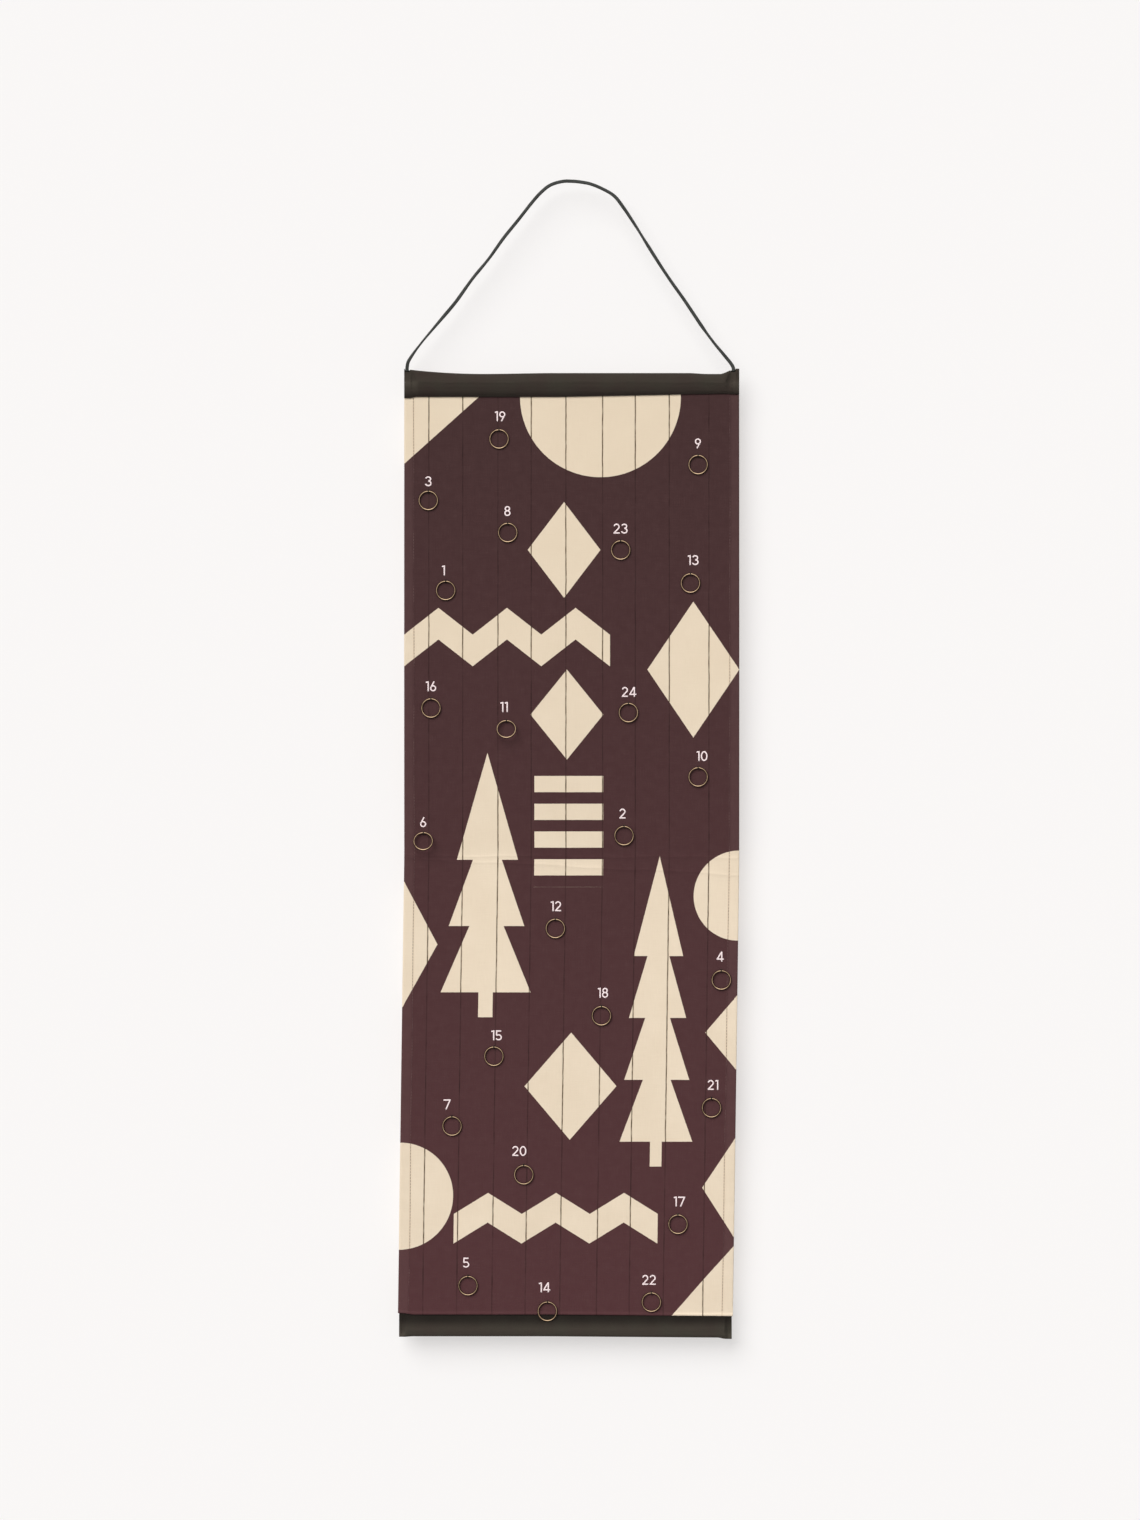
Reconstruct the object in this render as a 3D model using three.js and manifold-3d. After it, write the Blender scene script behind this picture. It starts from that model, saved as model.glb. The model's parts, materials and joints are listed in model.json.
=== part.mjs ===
// A fabric advent calendar: a printed cloth hung between two rod casings, with a brass ring for each
// of its 24 days, on a leather lace that goes over a wall hook.
// Millimetres. X points right as seen from the front, Y to the wall, Z up. The origin is the point
// under the peak of the lace where the wall hook carries it.
import * as THREE from "three";
import { mergeVertices } from "three/addons/utils/BufferGeometryUtils.js";
import Module from "manifold-3d";

// Driving dimensions

// Cloth
const clothWidth = 350;
const clothDrop = 959; // what shows between the casings
const clothThickness = 0.8;
const hemWidth = 9; // both sides are turned back by this and sewn
const seamLap = 8; // the bottom casing is sewn behind the cloth over this height
const bellyDepth = 3; // each half bows forward between the fold and its casing
const edgeCurl = 1.2;
const sideWaveDepth = 1;
const sideSway = 6.6; // below the fold the cloth hangs to the left, this far at its foot
const footRollHeight = 3; // the cloth's foot is turned over the seam as a soft roll
const footRollDepth = 0.8;

// Casings
const tapeThickness = 1;
const topCasingHeight = 24;
const topThroat = 3; // from the round of the top rod to the seam
const bottomCasingHeight = 22.6;
const topEndSeam = 9; // flat stretch at each end, sewn shut over the lace
const topEndTaper = 6; // from there the casing opens to its full round
const bottomEndSeam = 4;
const bottomEndTaper = 4;
const bottomCasingInset = 1.2; // each end stops short of the cloth's edge
const cornerRise = 4.2; // the lace pulls the top corners above the middle
const leftCornerSlope = 50;
const rightCornerSlope = 24;
const rightFootDrop = 1.6; // the bottom casing's right corner hangs lower
const footSlope = 14;
const tapeSlot = 0.3; // between the two layers of the bottom seam
const wallFlatDepth = 0.2; // the back of each casing is pressed flat by the wall
const wallEdgeShare = 1.25; // the round starts again this many flat angles from the middle

// Rods
const rodDiameter = 10;
const rodChamfer = 0.8;
const rodPlay = 0.5;
const topRodInset = 20; // from the casing's end to the rod's
const bottomRodInset = 12;

// Rings and their stitches
const ringDiameter = 21;
const wireDiameter = 1.8;
const stitchWidth = 1.8;
const stitchThickness = 0.7;

// Lace
const laceWidth = 3.6;
const laceThickness = 2.2;
const laceEndDepth = 0.8; // how far the free lace reaches below its hinge line
const exitDrop = 196; // from the hook to the line where the lace enters the casing
const leftExitInset = 3.1; // from the casing's end to the middle of the lace
const rightExitInset = 6.2;
const mouthHeight = 0.6; // the corners stand this far above the hinge line
const mouthOuterGap = 0.5; // beside the lace, towards the casing's end
const mouthInnerGap = 1.2; // on the side that the lace leans to as it leaves

const fitGap = 0.3; // between pieces that touch

// Centre line of the lace in the picture plane, from the left corner over the hook to the right one
const laceRoute = [
  [-171.9, -196.8],
  [-171.9, -192],
  [-169.4, -184.2],
  [-156.6, -166.5],
  [-136.9, -143.1],
  [-121, -124.1],
  [-103.6, -99.9],
  [-86.4, -78.9],
  [-71.5, -58],
  [-55.5, -38.2],
  [-42, -21],
  [-32.1, -9.9],
  [-22.2, -2.2],
  [-10, 1.5],
  [0, 1.8],
  [9, 1],
  [19.7, -1.1],
  [32, -6.1],
  [44.4, -13.6],
  [54.2, -25.9],
  [66.5, -44.4],
  [78.8, -64.2],
  [91.2, -83.9],
  [103.5, -102.4],
  [118.3, -123.3],
  [135.6, -149.2],
  [147.9, -166.1],
  [157.7, -178],
  [165.9, -188],
  [168.8, -193],
  [168.8, -196.8],
];

// Day, place across the cloth from its left edge, place down from the top casing
const ringPlaceShares = [
  [1, 0.124, 0.211],
  [2, 0.656, 0.478],
  [3, 0.072, 0.113],
  [4, 0.951, 0.635],
  [5, 0.208, 0.968],
  [6, 0.057, 0.485],
  [7, 0.154, 0.794],
  [8, 0.309, 0.148],
  [9, 0.877, 0.074],
  [10, 0.877, 0.414],
  [11, 0.305, 0.363],
  [12, 0.454, 0.579],
  [13, 0.854, 0.203],
  [14, 0.446, 0.996],
  [15, 0.276, 0.718],
  [16, 0.08, 0.339],
  [17, 0.832, 0.901],
  [18, 0.595, 0.674],
  [19, 0.283, 0.046],
  [20, 0.37, 0.847],
  [21, 0.927, 0.774],
  [22, 0.756, 0.986],
  [23, 0.646, 0.167],
  [24, 0.669, 0.344],
];
const outwardLeanDegrees = new Map([
  [6, 24],
  [11, 24],
]);

// Levels, from the hook down
const topCornerZ = -exitDrop + mouthHeight;
const topFoldZ = topCornerZ - cornerRise;
const clothTopZ = topFoldZ - topCasingHeight;
const clothFootZ = clothTopZ - clothDrop;
const bottomFoldZ = clothFootZ - bottomCasingHeight;

// The fold crease lies half way down
const foldShare = 0.5;

const wireRadius = wireDiameter / 2;
const ringRadius = (ringDiameter - wireDiameter) / 2;
const channelRadius = rodDiameter / 2 + rodPlay;
const casingRadius = channelRadius + tapeThickness;
const topSeamLap = topCasingHeight - 2 * casingRadius - topThroat; // cloth in the top casing
const laceEndReach = Math.hypot(laceEndDepth, laceThickness / 2); // of its cut end as the panel swings

const wasm = await Module();
wasm.setup();

// Geometry helpers

const mix = THREE.MathUtils.lerp;
const spread = (from, to, steps) =>
  Array.from({ length: steps + 1 }, (_, i) => mix(from, to, i / steps));

function indexedGeometry(points, faces) {
  const geometry = new THREE.BufferGeometry();
  geometry.setAttribute("position", new THREE.Float32BufferAttribute(points.flat(), 3));
  geometry.setIndex(faces.flat());
  geometry.computeVertexNormals();
  return geometry;
}

// A closed skin over sections that follow each other along X or Z. A section is { at, outline }, where
// outline holds the two other coordinates, in the order Y, Z along X or X, Y along Z.
function loft(axis, sections) {
  const flat = ({ outline }) => outline.map(([a, b]) => new THREE.Vector2(a, b));
  if (THREE.ShapeUtils.area(flat(sections[0])) < 0) {
    sections = sections.map(({ at, outline }) => ({ at, outline: outline.toReversed() }));
  }
  const count = sections[0].outline.length;
  const points = sections.flatMap(({ at, outline }) =>
    outline.map(([a, b]) => (axis === "x" ? [at, a, b] : [a, b, at])),
  );
  const faces = [];
  for (let i = 0; i < sections.length - 1; i++) {
    for (let j = 0; j < count; j++) {
      const a = i * count + j;
      const b = i * count + ((j + 1) % count);
      faces.push([a, b, b + count], [a, b + count, a + count]);
    }
  }
  const last = (sections.length - 1) * count;
  const cap = (section) => THREE.ShapeUtils.triangulateShape(flat(section), []);
  for (const [a, b, c] of cap(sections[0])) faces.push([c, b, a]);
  for (const [a, b, c] of cap(sections.at(-1))) faces.push([last + a, last + b, last + c]);
  return indexedGeometry(points, faces);
}

// A profile drawn in Y and Z, extruded along X with its middle at X = 0
function extrudeAlongX(shape, length, curveSegments) {
  const geometry = new THREE.ExtrudeGeometry(shape, {
    depth: length,
    bevelEnabled: false,
    curveSegments,
  });
  geometry.translate(0, 0, -length / 2);
  const cycle = new THREE.Matrix4().makeBasis(
    new THREE.Vector3(0, 1, 0),
    new THREE.Vector3(0, 0, 1),
    new THREE.Vector3(1, 0, 0),
  );
  return geometry.applyMatrix4(cycle);
}

function solidOf(geometry) {
  const bare = geometry.clone();
  bare.deleteAttribute("normal");
  bare.deleteAttribute("uv");
  const merged = mergeVertices(bare);
  return new wasm.Manifold(
    new wasm.Mesh({
      numProp: 3,
      vertProperties: merged.attributes.position.array,
      triVerts: new Uint32Array(merged.index.array),
    }),
  );
}

function subtract(geometry, cutters) {
  let solid = solidOf(geometry);
  for (const cutter of cutters) solid = solid.subtract(solidOf(cutter));
  const { vertProperties, triVerts } = solid.getMesh();
  const cut = new THREE.BufferGeometry();
  cut.setAttribute("position", new THREE.BufferAttribute(vertProperties, 3));
  cut.setIndex(new THREE.BufferAttribute(triVerts, 1));
  cut.computeVertexNormals();
  return cut;
}

function makeMesh(name, geometry, material) {
  const mesh = new THREE.Mesh(geometry, material);
  mesh.name = name;
  return mesh;
}

// Cloth. Places on it are shares: across from the left edge, down from the top casing.

const swayAt = (down) =>
  (-sideSway * Math.max(0, down - foldShare)) / (1 - foldShare);
const clothX = (across, down) => swayAt(down) + (across - 0.5) * clothWidth;
const clothZ = (down) => clothTopZ - down * clothDrop;
const downAt = (z) => (clothTopZ - z) / clothDrop;
const acrossAt = (x, z) => 0.5 + (x - swayAt(downAt(z))) / clothWidth;

// Depth of the cloth's middle: one belly above the fold and one below, side edges that curl forward,
// and a slow wave from side to side that dies out at both casings
function clothMiddleY(across, down) {
  const share = THREE.MathUtils.clamp(down, 0, 1);
  const free = Math.sin(Math.PI * share);
  const belly = Math.abs(Math.sin((Math.PI * share) / foldShare));
  const wave = Math.sin(3 * Math.PI * across + 1);
  const curl = (2 * across - 1) ** 4;
  return -bellyDepth * belly - edgeCurl * curl * free + sideWaveDepth * wave * free;
}

// The roll at the foot: its height above the foot and its depth, as shares
const footRollShares = [
  [0, 0.25],
  [0.1, 0.7],
  [0.35, 1],
  [0.7, 0.75],
  [1, 0],
];

function footRollAt(z) {
  const height = (z - clothFootZ) / footRollHeight;
  const next = footRollShares.findIndex(([h]) => h >= height);
  if (height < 0 || next < 0) return 0;
  if (next === 0) return footRollDepth * footRollShares[0][1];
  const [h0, d0] = footRollShares[next - 1];
  const [h1, d1] = footRollShares[next];
  return footRollDepth * mix(d0, d1, (height - h0) / (h1 - h0));
}

const clothFrontY = (x, z) =>
  clothMiddleY(acrossAt(x, z), downAt(z)) - clothThickness / 2 - footRollAt(z);

function clothGeometry() {
  const hemShare = hemWidth / clothWidth;
  const hemStepShare = fitGap / clothWidth;
  const acrossShares = [
    0,
    hemShare - hemStepShare,
    hemShare,
    ...spread(hemShare, 1 - hemShare, 8).slice(1, -1),
    1 - hemShare,
    1 - hemShare + hemStepShare,
    1,
  ];
  const inHem = (across) => across < hemShare || across > 1 - hemShare;
  const hemTopZ = clothTopZ - fitGap;
  const hemFootZ = clothFootZ + seamLap + fitGap;
  const rows = [
    ...footRollShares.map(([height]) => clothFootZ + height * footRollHeight),
    hemFootZ,
    hemFootZ + fitGap,
    ...spread(0, 1, 30).slice(1, -1).map(clothZ).toReversed(),
    hemTopZ - fitGap,
    hemTopZ,
    clothTopZ,
    clothTopZ + topSeamLap,
  ];
  const sections = rows.map((z) => {
    const down = downAt(z);
    const hemmed = z > hemFootZ && z < hemTopZ;
    const front = acrossShares.map((across) => {
      const x = clothX(across, Math.max(0, down));
      return [x, clothFrontY(x, z)];
    });
    const back = acrossShares.map((across) => {
      const layers = hemmed && inHem(across) ? 1.5 : 0.5;
      return [
        clothX(across, Math.max(0, down)),
        clothMiddleY(across, down) + layers * clothThickness,
      ];
    });
    return { at: z, outline: [...front, ...back.toReversed()] };
  });
  return loft("z", sections);
}

// Casings. Each is one strip of tape, folded round a rod, whose two edges are sewn together over or
// behind the cloth's edge. foldSide is 1 where the fold is up and -1 where it is down.

const topCasing = {
  foldSide: 1,
  length: clothWidth,
  centreX: 0,
  foldZ: topFoldZ,
  lapStartZ: clothTopZ + topSeamLap,
  lapEndZ: clothTopZ,
  lapCentreY: 0,
  lapHalfGap: clothThickness / 2 + fitGap,
  endRadius: laceThickness / 2 + fitGap,
  endSeam: topEndSeam,
  endTaper: topEndTaper,
  left: { rise: cornerRise, slope: leftCornerSlope },
  right: { rise: cornerRise, slope: rightCornerSlope },
};

const bottomCasing = {
  foldSide: -1,
  length: clothWidth - 2 * bottomCasingInset,
  centreX: swayAt(1),
  foldZ: bottomFoldZ,
  lapStartZ: clothFootZ,
  lapEndZ: clothFootZ + seamLap,
  lapCentreY: clothThickness / 2 + fitGap + tapeThickness + tapeSlot / 2,
  lapHalfGap: tapeSlot / 2,
  endRadius: fitGap,
  endSeam: bottomEndSeam,
  endTaper: bottomEndTaper,
  left: { rise: 0, slope: footSlope },
  right: { rise: rightFootDrop, slope: footSlope },
};

const rodZ = (casing) => casing.foldZ - casing.foldSide * casingRadius;

// Angle at which a straight side, drawn from the lap, meets the round of the fold
function tangentAngle(lapY, lapHeight, radius, side) {
  const reach = Math.hypot(lapY, lapHeight);
  return Math.atan2(lapHeight, lapY) + side * Math.acos(radius / reach);
}

// Outline of a casing across its length, for a channel of this radius and centre, and this fold
function casingOutline(casing, radius, centreZ, foldZ) {
  const { foldSide, lapCentreY, lapHalfGap } = casing;
  const level = (z) => (z - centreZ) * foldSide;
  const lapStart = level(casing.lapStartZ);
  const lapEnd = level(casing.lapEndZ);
  const outerRadius = radius + tapeThickness;
  const rise = level(foldZ) - outerRadius;
  const wallAngle = Math.acos(1 - wallFlatDepth / outerRadius);
  const underWall = -wallEdgeShare * wallAngle;
  const arc = (r, angles) =>
    angles.map((angle) => [
      r * Math.cos(angle),
      (r + (angle > 0 && angle < Math.PI ? rise : 0)) * Math.sin(angle),
    ]);
  const side = (gap, r) => ({
    back: lapCentreY + gap,
    front: lapCentreY - gap,
    backAngle: tangentAngle(lapCentreY + gap, lapStart, r, 1),
    frontAngle: 2 * Math.PI + tangentAngle(lapCentreY - gap, lapStart, r, -1),
  });
  const outer = side(lapHalfGap + tapeThickness, outerRadius);
  const inner = side(lapHalfGap, radius);
  const outline = [
    [outer.back, lapEnd],
    [outer.back, lapStart],
    ...arc(outerRadius, [Math.min(outer.backAngle, underWall), -wallAngle]),
    ...arc(outerRadius, spread(wallAngle, outer.frontAngle, 10)),
    [outer.front, lapStart],
    [outer.front, lapEnd],
    [inner.front, lapEnd],
    [inner.front, lapStart],
    ...arc(radius, spread(inner.frontAngle, inner.backAngle, 9)),
    [inner.back, lapStart],
    [inner.back, lapEnd],
  ];
  return outline.map(([y, height]) => [y, centreZ + foldSide * height]);
}

// The outline at a distance from one end: flat and sewn at first, then opening round the rod
function casingSection(casing, corner, distance) {
  const { foldSide, endSeam, endTaper, endRadius } = casing;
  const round = THREE.MathUtils.smoothstep(distance, endSeam, endSeam + endTaper);
  const risen = 1 - THREE.MathUtils.smoothstep(distance, endSeam, corner.slope);
  const radius = mix(endRadius, channelRadius, round);
  const foldZ = casing.foldZ + foldSide * corner.rise * risen;
  const flatCentreZ = foldZ - foldSide * (endRadius + tapeThickness);
  const centreZ = mix(flatCentreZ, rodZ(casing), round);
  return casingOutline(casing, radius, centreZ, foldZ);
}

function casingGeometry(casing) {
  const { endSeam, endTaper, length, centreX } = casing;
  const marks = ({ slope }) => [
    0,
    ...spread(endSeam, endSeam + endTaper, 3),
    ...spread(endSeam + endTaper, Math.max(slope, endSeam + 2 * endTaper), 3).slice(1),
  ];
  const left = marks(casing.left).map((distance) => ({
    at: centreX - length / 2 + distance,
    outline: casingSection(casing, casing.left, distance),
  }));
  const right = marks(casing.right).map((distance) => ({
    at: centreX + length / 2 - distance,
    outline: casingSection(casing, casing.right, distance),
  }));
  return loft("x", [...left, ...right.toReversed()]);
}

// Rods

function rodGeometry(length) {
  const r = rodDiameter / 2;
  const half = length / 2;
  const profile = [
    [0, -half],
    [r - rodChamfer, -half],
    [r, rodChamfer - half],
    [r, half - rodChamfer],
    [r - rodChamfer, half],
    [0, half],
  ].map(([x, y]) => new THREE.Vector2(x, y));
  return new THREE.LatheGeometry(profile, 24).rotateZ(-Math.PI / 2);
}

function makeRod(name, casing, inset, material) {
  const rod = makeMesh(name, rodGeometry(casing.length - 2 * inset), material);
  rod.position.set(casing.centreX, 0, rodZ(casing));
  return rod;
}

// Lace

const leftExitX = leftExitInset - clothWidth / 2;
const rightExitX = clothWidth / 2 - rightExitInset;

function laceGeometry() {
  const path = new THREE.CatmullRomCurve3(
    laceRoute.map(([x, z]) => new THREE.Vector3(x, 0, z)),
  );
  const section = new THREE.Shape(
    new THREE.EllipseCurve(0, 0, laceThickness / 2, laceWidth / 2).getPoints(8).slice(1),
  );
  return new THREE.ExtrudeGeometry(section, { steps: 64, extrudePath: path });
}

// The end of the lace, skived to a wedge and sewn in between the layers of the casing's corner
const tailTopZ = -exitDrop - laceEndReach - fitGap;
const tailFootZ = topCasing.lapStartZ + fitGap;

function tailGeometry() {
  const profile = new THREE.Shape(
    [
      [-clothThickness / 2, tailFootZ],
      [clothThickness / 2, tailFootZ],
      [laceThickness / 2, tailTopZ],
      [-laceThickness / 2, tailTopZ],
    ].map(([y, z]) => new THREE.Vector2(y, z)),
  );
  return extrudeAlongX(profile, laceWidth, 1);
}

// The mouth in the casing's corner where the lace comes out. It is open to the front, because the lace
// lies over the front layer when the panel's foot is lifted a quarter turn off the wall.
function mouthCutter(exitX) {
  const radius = laceEndReach + fitGap;
  const front = -topCasing.endRadius - 2 * tapeThickness;
  const top = topCornerZ + tapeThickness;
  const profile = new THREE.Shape();
  profile.moveTo(front, top);
  profile.lineTo(front, -exitDrop - radius);
  profile.lineTo(0, -exitDrop - radius);
  profile.absarc(0, -exitDrop, radius, -Math.PI / 2, 0, false);
  profile.lineTo(radius, top);
  const width = laceWidth + mouthOuterGap + mouthInnerGap;
  const inward = (-Math.sign(exitX) * (mouthInnerGap - mouthOuterGap)) / 2;
  return extrudeAlongX(profile, width, 6).translate(exitX + inward, 0, 0);
}

const topCasingGeometry = () =>
  subtract(casingGeometry(topCasing), [leftExitX, rightExitX].map(mouthCutter));

// Rings. Each hangs on a stitch over its top, and turns about its own wire there.

const bottomFront = casingOutline(bottomCasing, channelRadius, rodZ(bottomCasing), bottomFoldZ);

function casingFrontY(z) {
  let front = Infinity;
  bottomFront.forEach(([y0, z0], i) => {
    const [y1, z1] = bottomFront[(i + 1) % bottomFront.length];
    if ((z - z0) * (z - z1) > 0 || z0 === z1) return;
    front = Math.min(front, mix(y0, y1, (z - z0) / (z1 - z0)));
  });
  return front;
}

const panelFrontY = (x, z) => (z > clothFootZ ? clothFrontY(x, z) : casingFrontY(z));

// Where a day's ring hangs: its hinge line, and how far it leans out to rest on what is below
function ringSeat([day, across, down]) {
  const x = clothX(across, down);
  const z = clothZ(down) + ringRadius;
  const clearance = fitGap + wireRadius;
  const topFronts = spread(-ringRadius, ringRadius, 4).map((dx) => clothFrontY(x + dx, z));
  const y = Math.min(...topFronts) - clearance;
  const leans = spread(Math.PI / 6, (11 * Math.PI) / 6, 20).map((turn) => {
    const below = ringRadius * (1 - Math.cos(turn));
    const front = panelFrontY(x + ringRadius * Math.sin(turn), z - below);
    return Math.asin((y - front + clearance) / below);
  });
  const shown = THREE.MathUtils.degToRad(outwardLeanDegrees.get(day) ?? 0);
  return { day, x, y, z, lean: Math.max(shown, ...leans) };
}

const ringSeats = ringPlaceShares.map(ringSeat);
const ringGeometry = new THREE.TorusGeometry(ringRadius, wireRadius, 8, 24)
  .rotateX(Math.PI / 2)
  .translate(0, 0, -ringRadius);

function makeRing({ day, x, y, z, lean }, material) {
  const name = "ring_" + String(day).padStart(2, "0");
  const ring = makeMesh(name, ringGeometry, material);
  ring.position.set(x, y, z);
  ring.rotation.x = -lean;
  return ring;
}

// A stitch is a flat bundle of thread in the shape of a staple, with both feet on the cloth
function makeStitch({ day, x, y, z }, material) {
  const inner = wireRadius + fitGap;
  const outer = inner + stitchThickness;
  const foot = clothFrontY(x, z) - fitGap - y;
  const profile = new THREE.Shape();
  profile.moveTo(foot, inner);
  profile.lineTo(foot, outer);
  profile.absarc(0, 0, outer, Math.PI / 2, (3 * Math.PI) / 2, false);
  profile.lineTo(foot, -outer);
  profile.lineTo(foot, -inner);
  profile.absarc(0, 0, inner, (3 * Math.PI) / 2, Math.PI / 2, true);
  const name = "ring_stitch_" + String(day).padStart(2, "0");
  const stitch = makeMesh(name, extrudeAlongX(profile, stitchWidth, 5), material);
  stitch.position.set(x, y, z);
  return stitch;
}

// Materials

const finish = (color, roughness, metalness = 0) =>
  new THREE.MeshStandardMaterial({ color, roughness, metalness });
const materials = {
  cloth: finish(0x553a3a, 0.92),
  tape: finish(0x3b342f, 0.9),
  wood: finish(0xc8a878, 0.65),
  brass: finish(0x94723a, 0.4, 1),
  thread: finish(0x2b2523, 0.85),
  leather: finish(0x464842, 0.6),
};

// Assembly

const calendar = new THREE.Group();
const panel = new THREE.Group();
calendar.add(makeMesh("hanging_lace", laceGeometry(), materials.leather), panel);

panel.add(
  makeMesh("printed_cloth", clothGeometry(), materials.cloth),
  makeMesh("top_casing", topCasingGeometry(), materials.tape),
  makeMesh("bottom_casing", casingGeometry(bottomCasing), materials.tape),
  makeRod("top_rod", topCasing, topRodInset, materials.wood),
  makeRod("bottom_rod", bottomCasing, bottomRodInset, materials.wood),
);

for (const [name, exitX] of [
  ["left_lace_tail", leftExitX],
  ["right_lace_tail", rightExitX],
]) {
  const tail = makeMesh(name, tailGeometry(), materials.leather);
  tail.position.x = exitX;
  panel.add(tail);
}

for (const seat of ringSeats) {
  panel.add(makeStitch(seat, materials.thread), makeRing(seat, materials.brass));
}

export default calendar;
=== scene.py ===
# %% [markdown]
# # Dressing a fabric advent calendar
#
# The frame that this lesson starts from is plain: a faceted cloth, two casings, a lace, 24 rings and their
# stitches. Each is at its real size and place, on the body that it moves with, and nothing here moves
# them. Each cell gives one of them the surface of the real thing: printed canvas, twill tape, leather or
# antique brass.
#
# Blender's unit is the metre, but a calendar like this is measured in millimetres. So all sizes below are
# millimetres, and the one function that makes a piece converts them.

# %% Load the frame
import json
import math
from collections.abc import Callable
from dataclasses import dataclass

import bmesh
import bpy
import numpy as np
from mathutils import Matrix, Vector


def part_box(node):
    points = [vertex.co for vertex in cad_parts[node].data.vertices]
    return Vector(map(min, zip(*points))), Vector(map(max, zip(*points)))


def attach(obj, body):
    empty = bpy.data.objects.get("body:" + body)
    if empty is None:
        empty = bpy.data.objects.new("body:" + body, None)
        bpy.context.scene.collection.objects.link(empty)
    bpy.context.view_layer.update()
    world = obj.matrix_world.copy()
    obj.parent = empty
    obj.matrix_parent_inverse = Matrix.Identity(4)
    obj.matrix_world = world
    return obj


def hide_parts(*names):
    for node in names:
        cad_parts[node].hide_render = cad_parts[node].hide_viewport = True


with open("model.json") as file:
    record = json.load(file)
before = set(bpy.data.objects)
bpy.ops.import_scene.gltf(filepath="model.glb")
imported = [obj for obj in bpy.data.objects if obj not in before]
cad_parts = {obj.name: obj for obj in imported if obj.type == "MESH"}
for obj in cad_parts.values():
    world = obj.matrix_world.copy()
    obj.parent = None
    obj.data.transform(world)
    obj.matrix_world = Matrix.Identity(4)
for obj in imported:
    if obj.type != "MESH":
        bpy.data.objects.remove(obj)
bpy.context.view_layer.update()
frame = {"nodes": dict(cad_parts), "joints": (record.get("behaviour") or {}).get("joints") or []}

MM = 0.001


def box_mm(node):
    """Lowest and highest corner of a CAD node, in millimetres."""
    low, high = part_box(node)
    return np.round(np.array(low) / MM, 2), np.round(np.array(high) / MM, 2)


# %% [markdown]
# ## The camera
#
# The photograph is taken square on and from far away, because both sides of the panel look upright and
# the rods show no curve. A long lens from 4.5 m does that. How much of the wall it sees is set by the
# height of the picture where the panel hangs, and the focal length follows from that.

# %% Set up the camera
CAMERA_DISTANCE = 4500
PICTURE_HEIGHT = 1588.4
PICTURE_CENTRE = (-1.8, -603.0)
SENSOR_HEIGHT = 36


def make_camera():
    data = bpy.data.cameras.new("camera")
    data.sensor_fit = "VERTICAL"
    data.sensor_height = SENSOR_HEIGHT
    data.lens = SENSOR_HEIGHT * CAMERA_DISTANCE / PICTURE_HEIGHT
    camera = bpy.data.objects.new("camera", data)
    x, z = PICTURE_CENTRE
    camera.location = (x * MM, -CAMERA_DISTANCE * MM, z * MM)
    camera.rotation_euler = (math.pi / 2, 0, 0)
    bpy.context.scene.collection.objects.link(camera)
    bpy.context.scene.camera = camera
    return camera


camera = make_camera()
bpy.context.scene.view_settings.view_transform = "Standard"
print("focal length", round(camera.data.lens, 1), "mm")

# %% [markdown]
# ## Skins
#
# Almost everything on this object is long and thin: a lace, a thread, a strip of tape, a painted stroke.
# All of them are a small closed outline that travels along a line. So one collector is enough: it takes
# the outlines as rings of points, joins each ring to the next with quads, and caps both ends. Blender's
# curve objects could make the tubes too, but not the tape or the cloth, and a mesh shows its true shape in
# every program.

# %% Collect skins into one mesh
class Skins:
    """Closed skins over rings of points, gathered into the mesh of one piece."""

    def __init__(self):
        self.points = []
        self.faces = []

    def add(self, rings, joined=False, capped=True):
        """Adds a skin over rings, an array (rings, points in a ring, 3).

        joined closes the skin on itself, and capped gives it one flat face at each end.
        """
        rings = np.asarray(rings, float)
        count, size = rings.shape[:2]
        first = sum(len(block) for block in self.points)
        self.points.append(rings.reshape(-1, 3))
        ring, spot = np.meshgrid(np.arange(count if joined else count - 1), np.arange(size), indexing="ij")
        here = first + ring * size
        there = first + (ring + 1) % count * size
        after = (spot + 1) % size
        quads = np.stack([here + spot, here + after, there + after, there + spot], -1)
        self.faces += quads.reshape(-1, 4).tolist()
        if capped and not joined:
            last = first + (count - 1) * size
            self.faces.append([first + k for k in reversed(range(size))])
            self.faces.append([last + k for k in range(size)])

    def make(self, name, *finishes):
        """Makes the piece, in metres, with its faces pointing out."""
        mesh = bpy.data.meshes.new(name)
        mesh.from_pydata((np.concatenate(self.points) * MM).tolist(), [], self.faces)
        shape = bmesh.new()
        shape.from_mesh(mesh)
        bmesh.ops.recalc_face_normals(shape, faces=shape.faces)
        shape.to_mesh(mesh)
        shape.free()
        mesh.shade_smooth()
        for finish in finishes:
            mesh.materials.append(finish)
        piece = bpy.data.objects.new(name, mesh)
        bpy.context.scene.collection.objects.link(piece)
        return piece


def unit(vectors):
    return vectors / np.linalg.norm(vectors, axis=-1, keepdims=True)


def tube(line, radius, sides=8, side_axis=(1, 0, 0)):
    """Rings of a round tube along a line. side_axis is a direction that the line never runs in."""
    line = np.asarray(line, float)
    along = unit(np.gradient(line, axis=0))
    across = unit(np.cross(along, side_axis))
    over = np.cross(along, across)
    turn = np.linspace(0, 2 * math.pi, sides, endpoint=False)
    radius = np.broadcast_to(radius, len(line))[:, None, None]
    ring = np.cos(turn)[None, :, None] * across[:, None] + np.sin(turn)[None, :, None] * over[:, None]
    return line[:, None] + radius * ring


def smoothstep(value, start, end):
    share = np.clip((value - start) / (end - start), 0, 1)
    return share * share * (3 - 2 * share)


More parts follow.
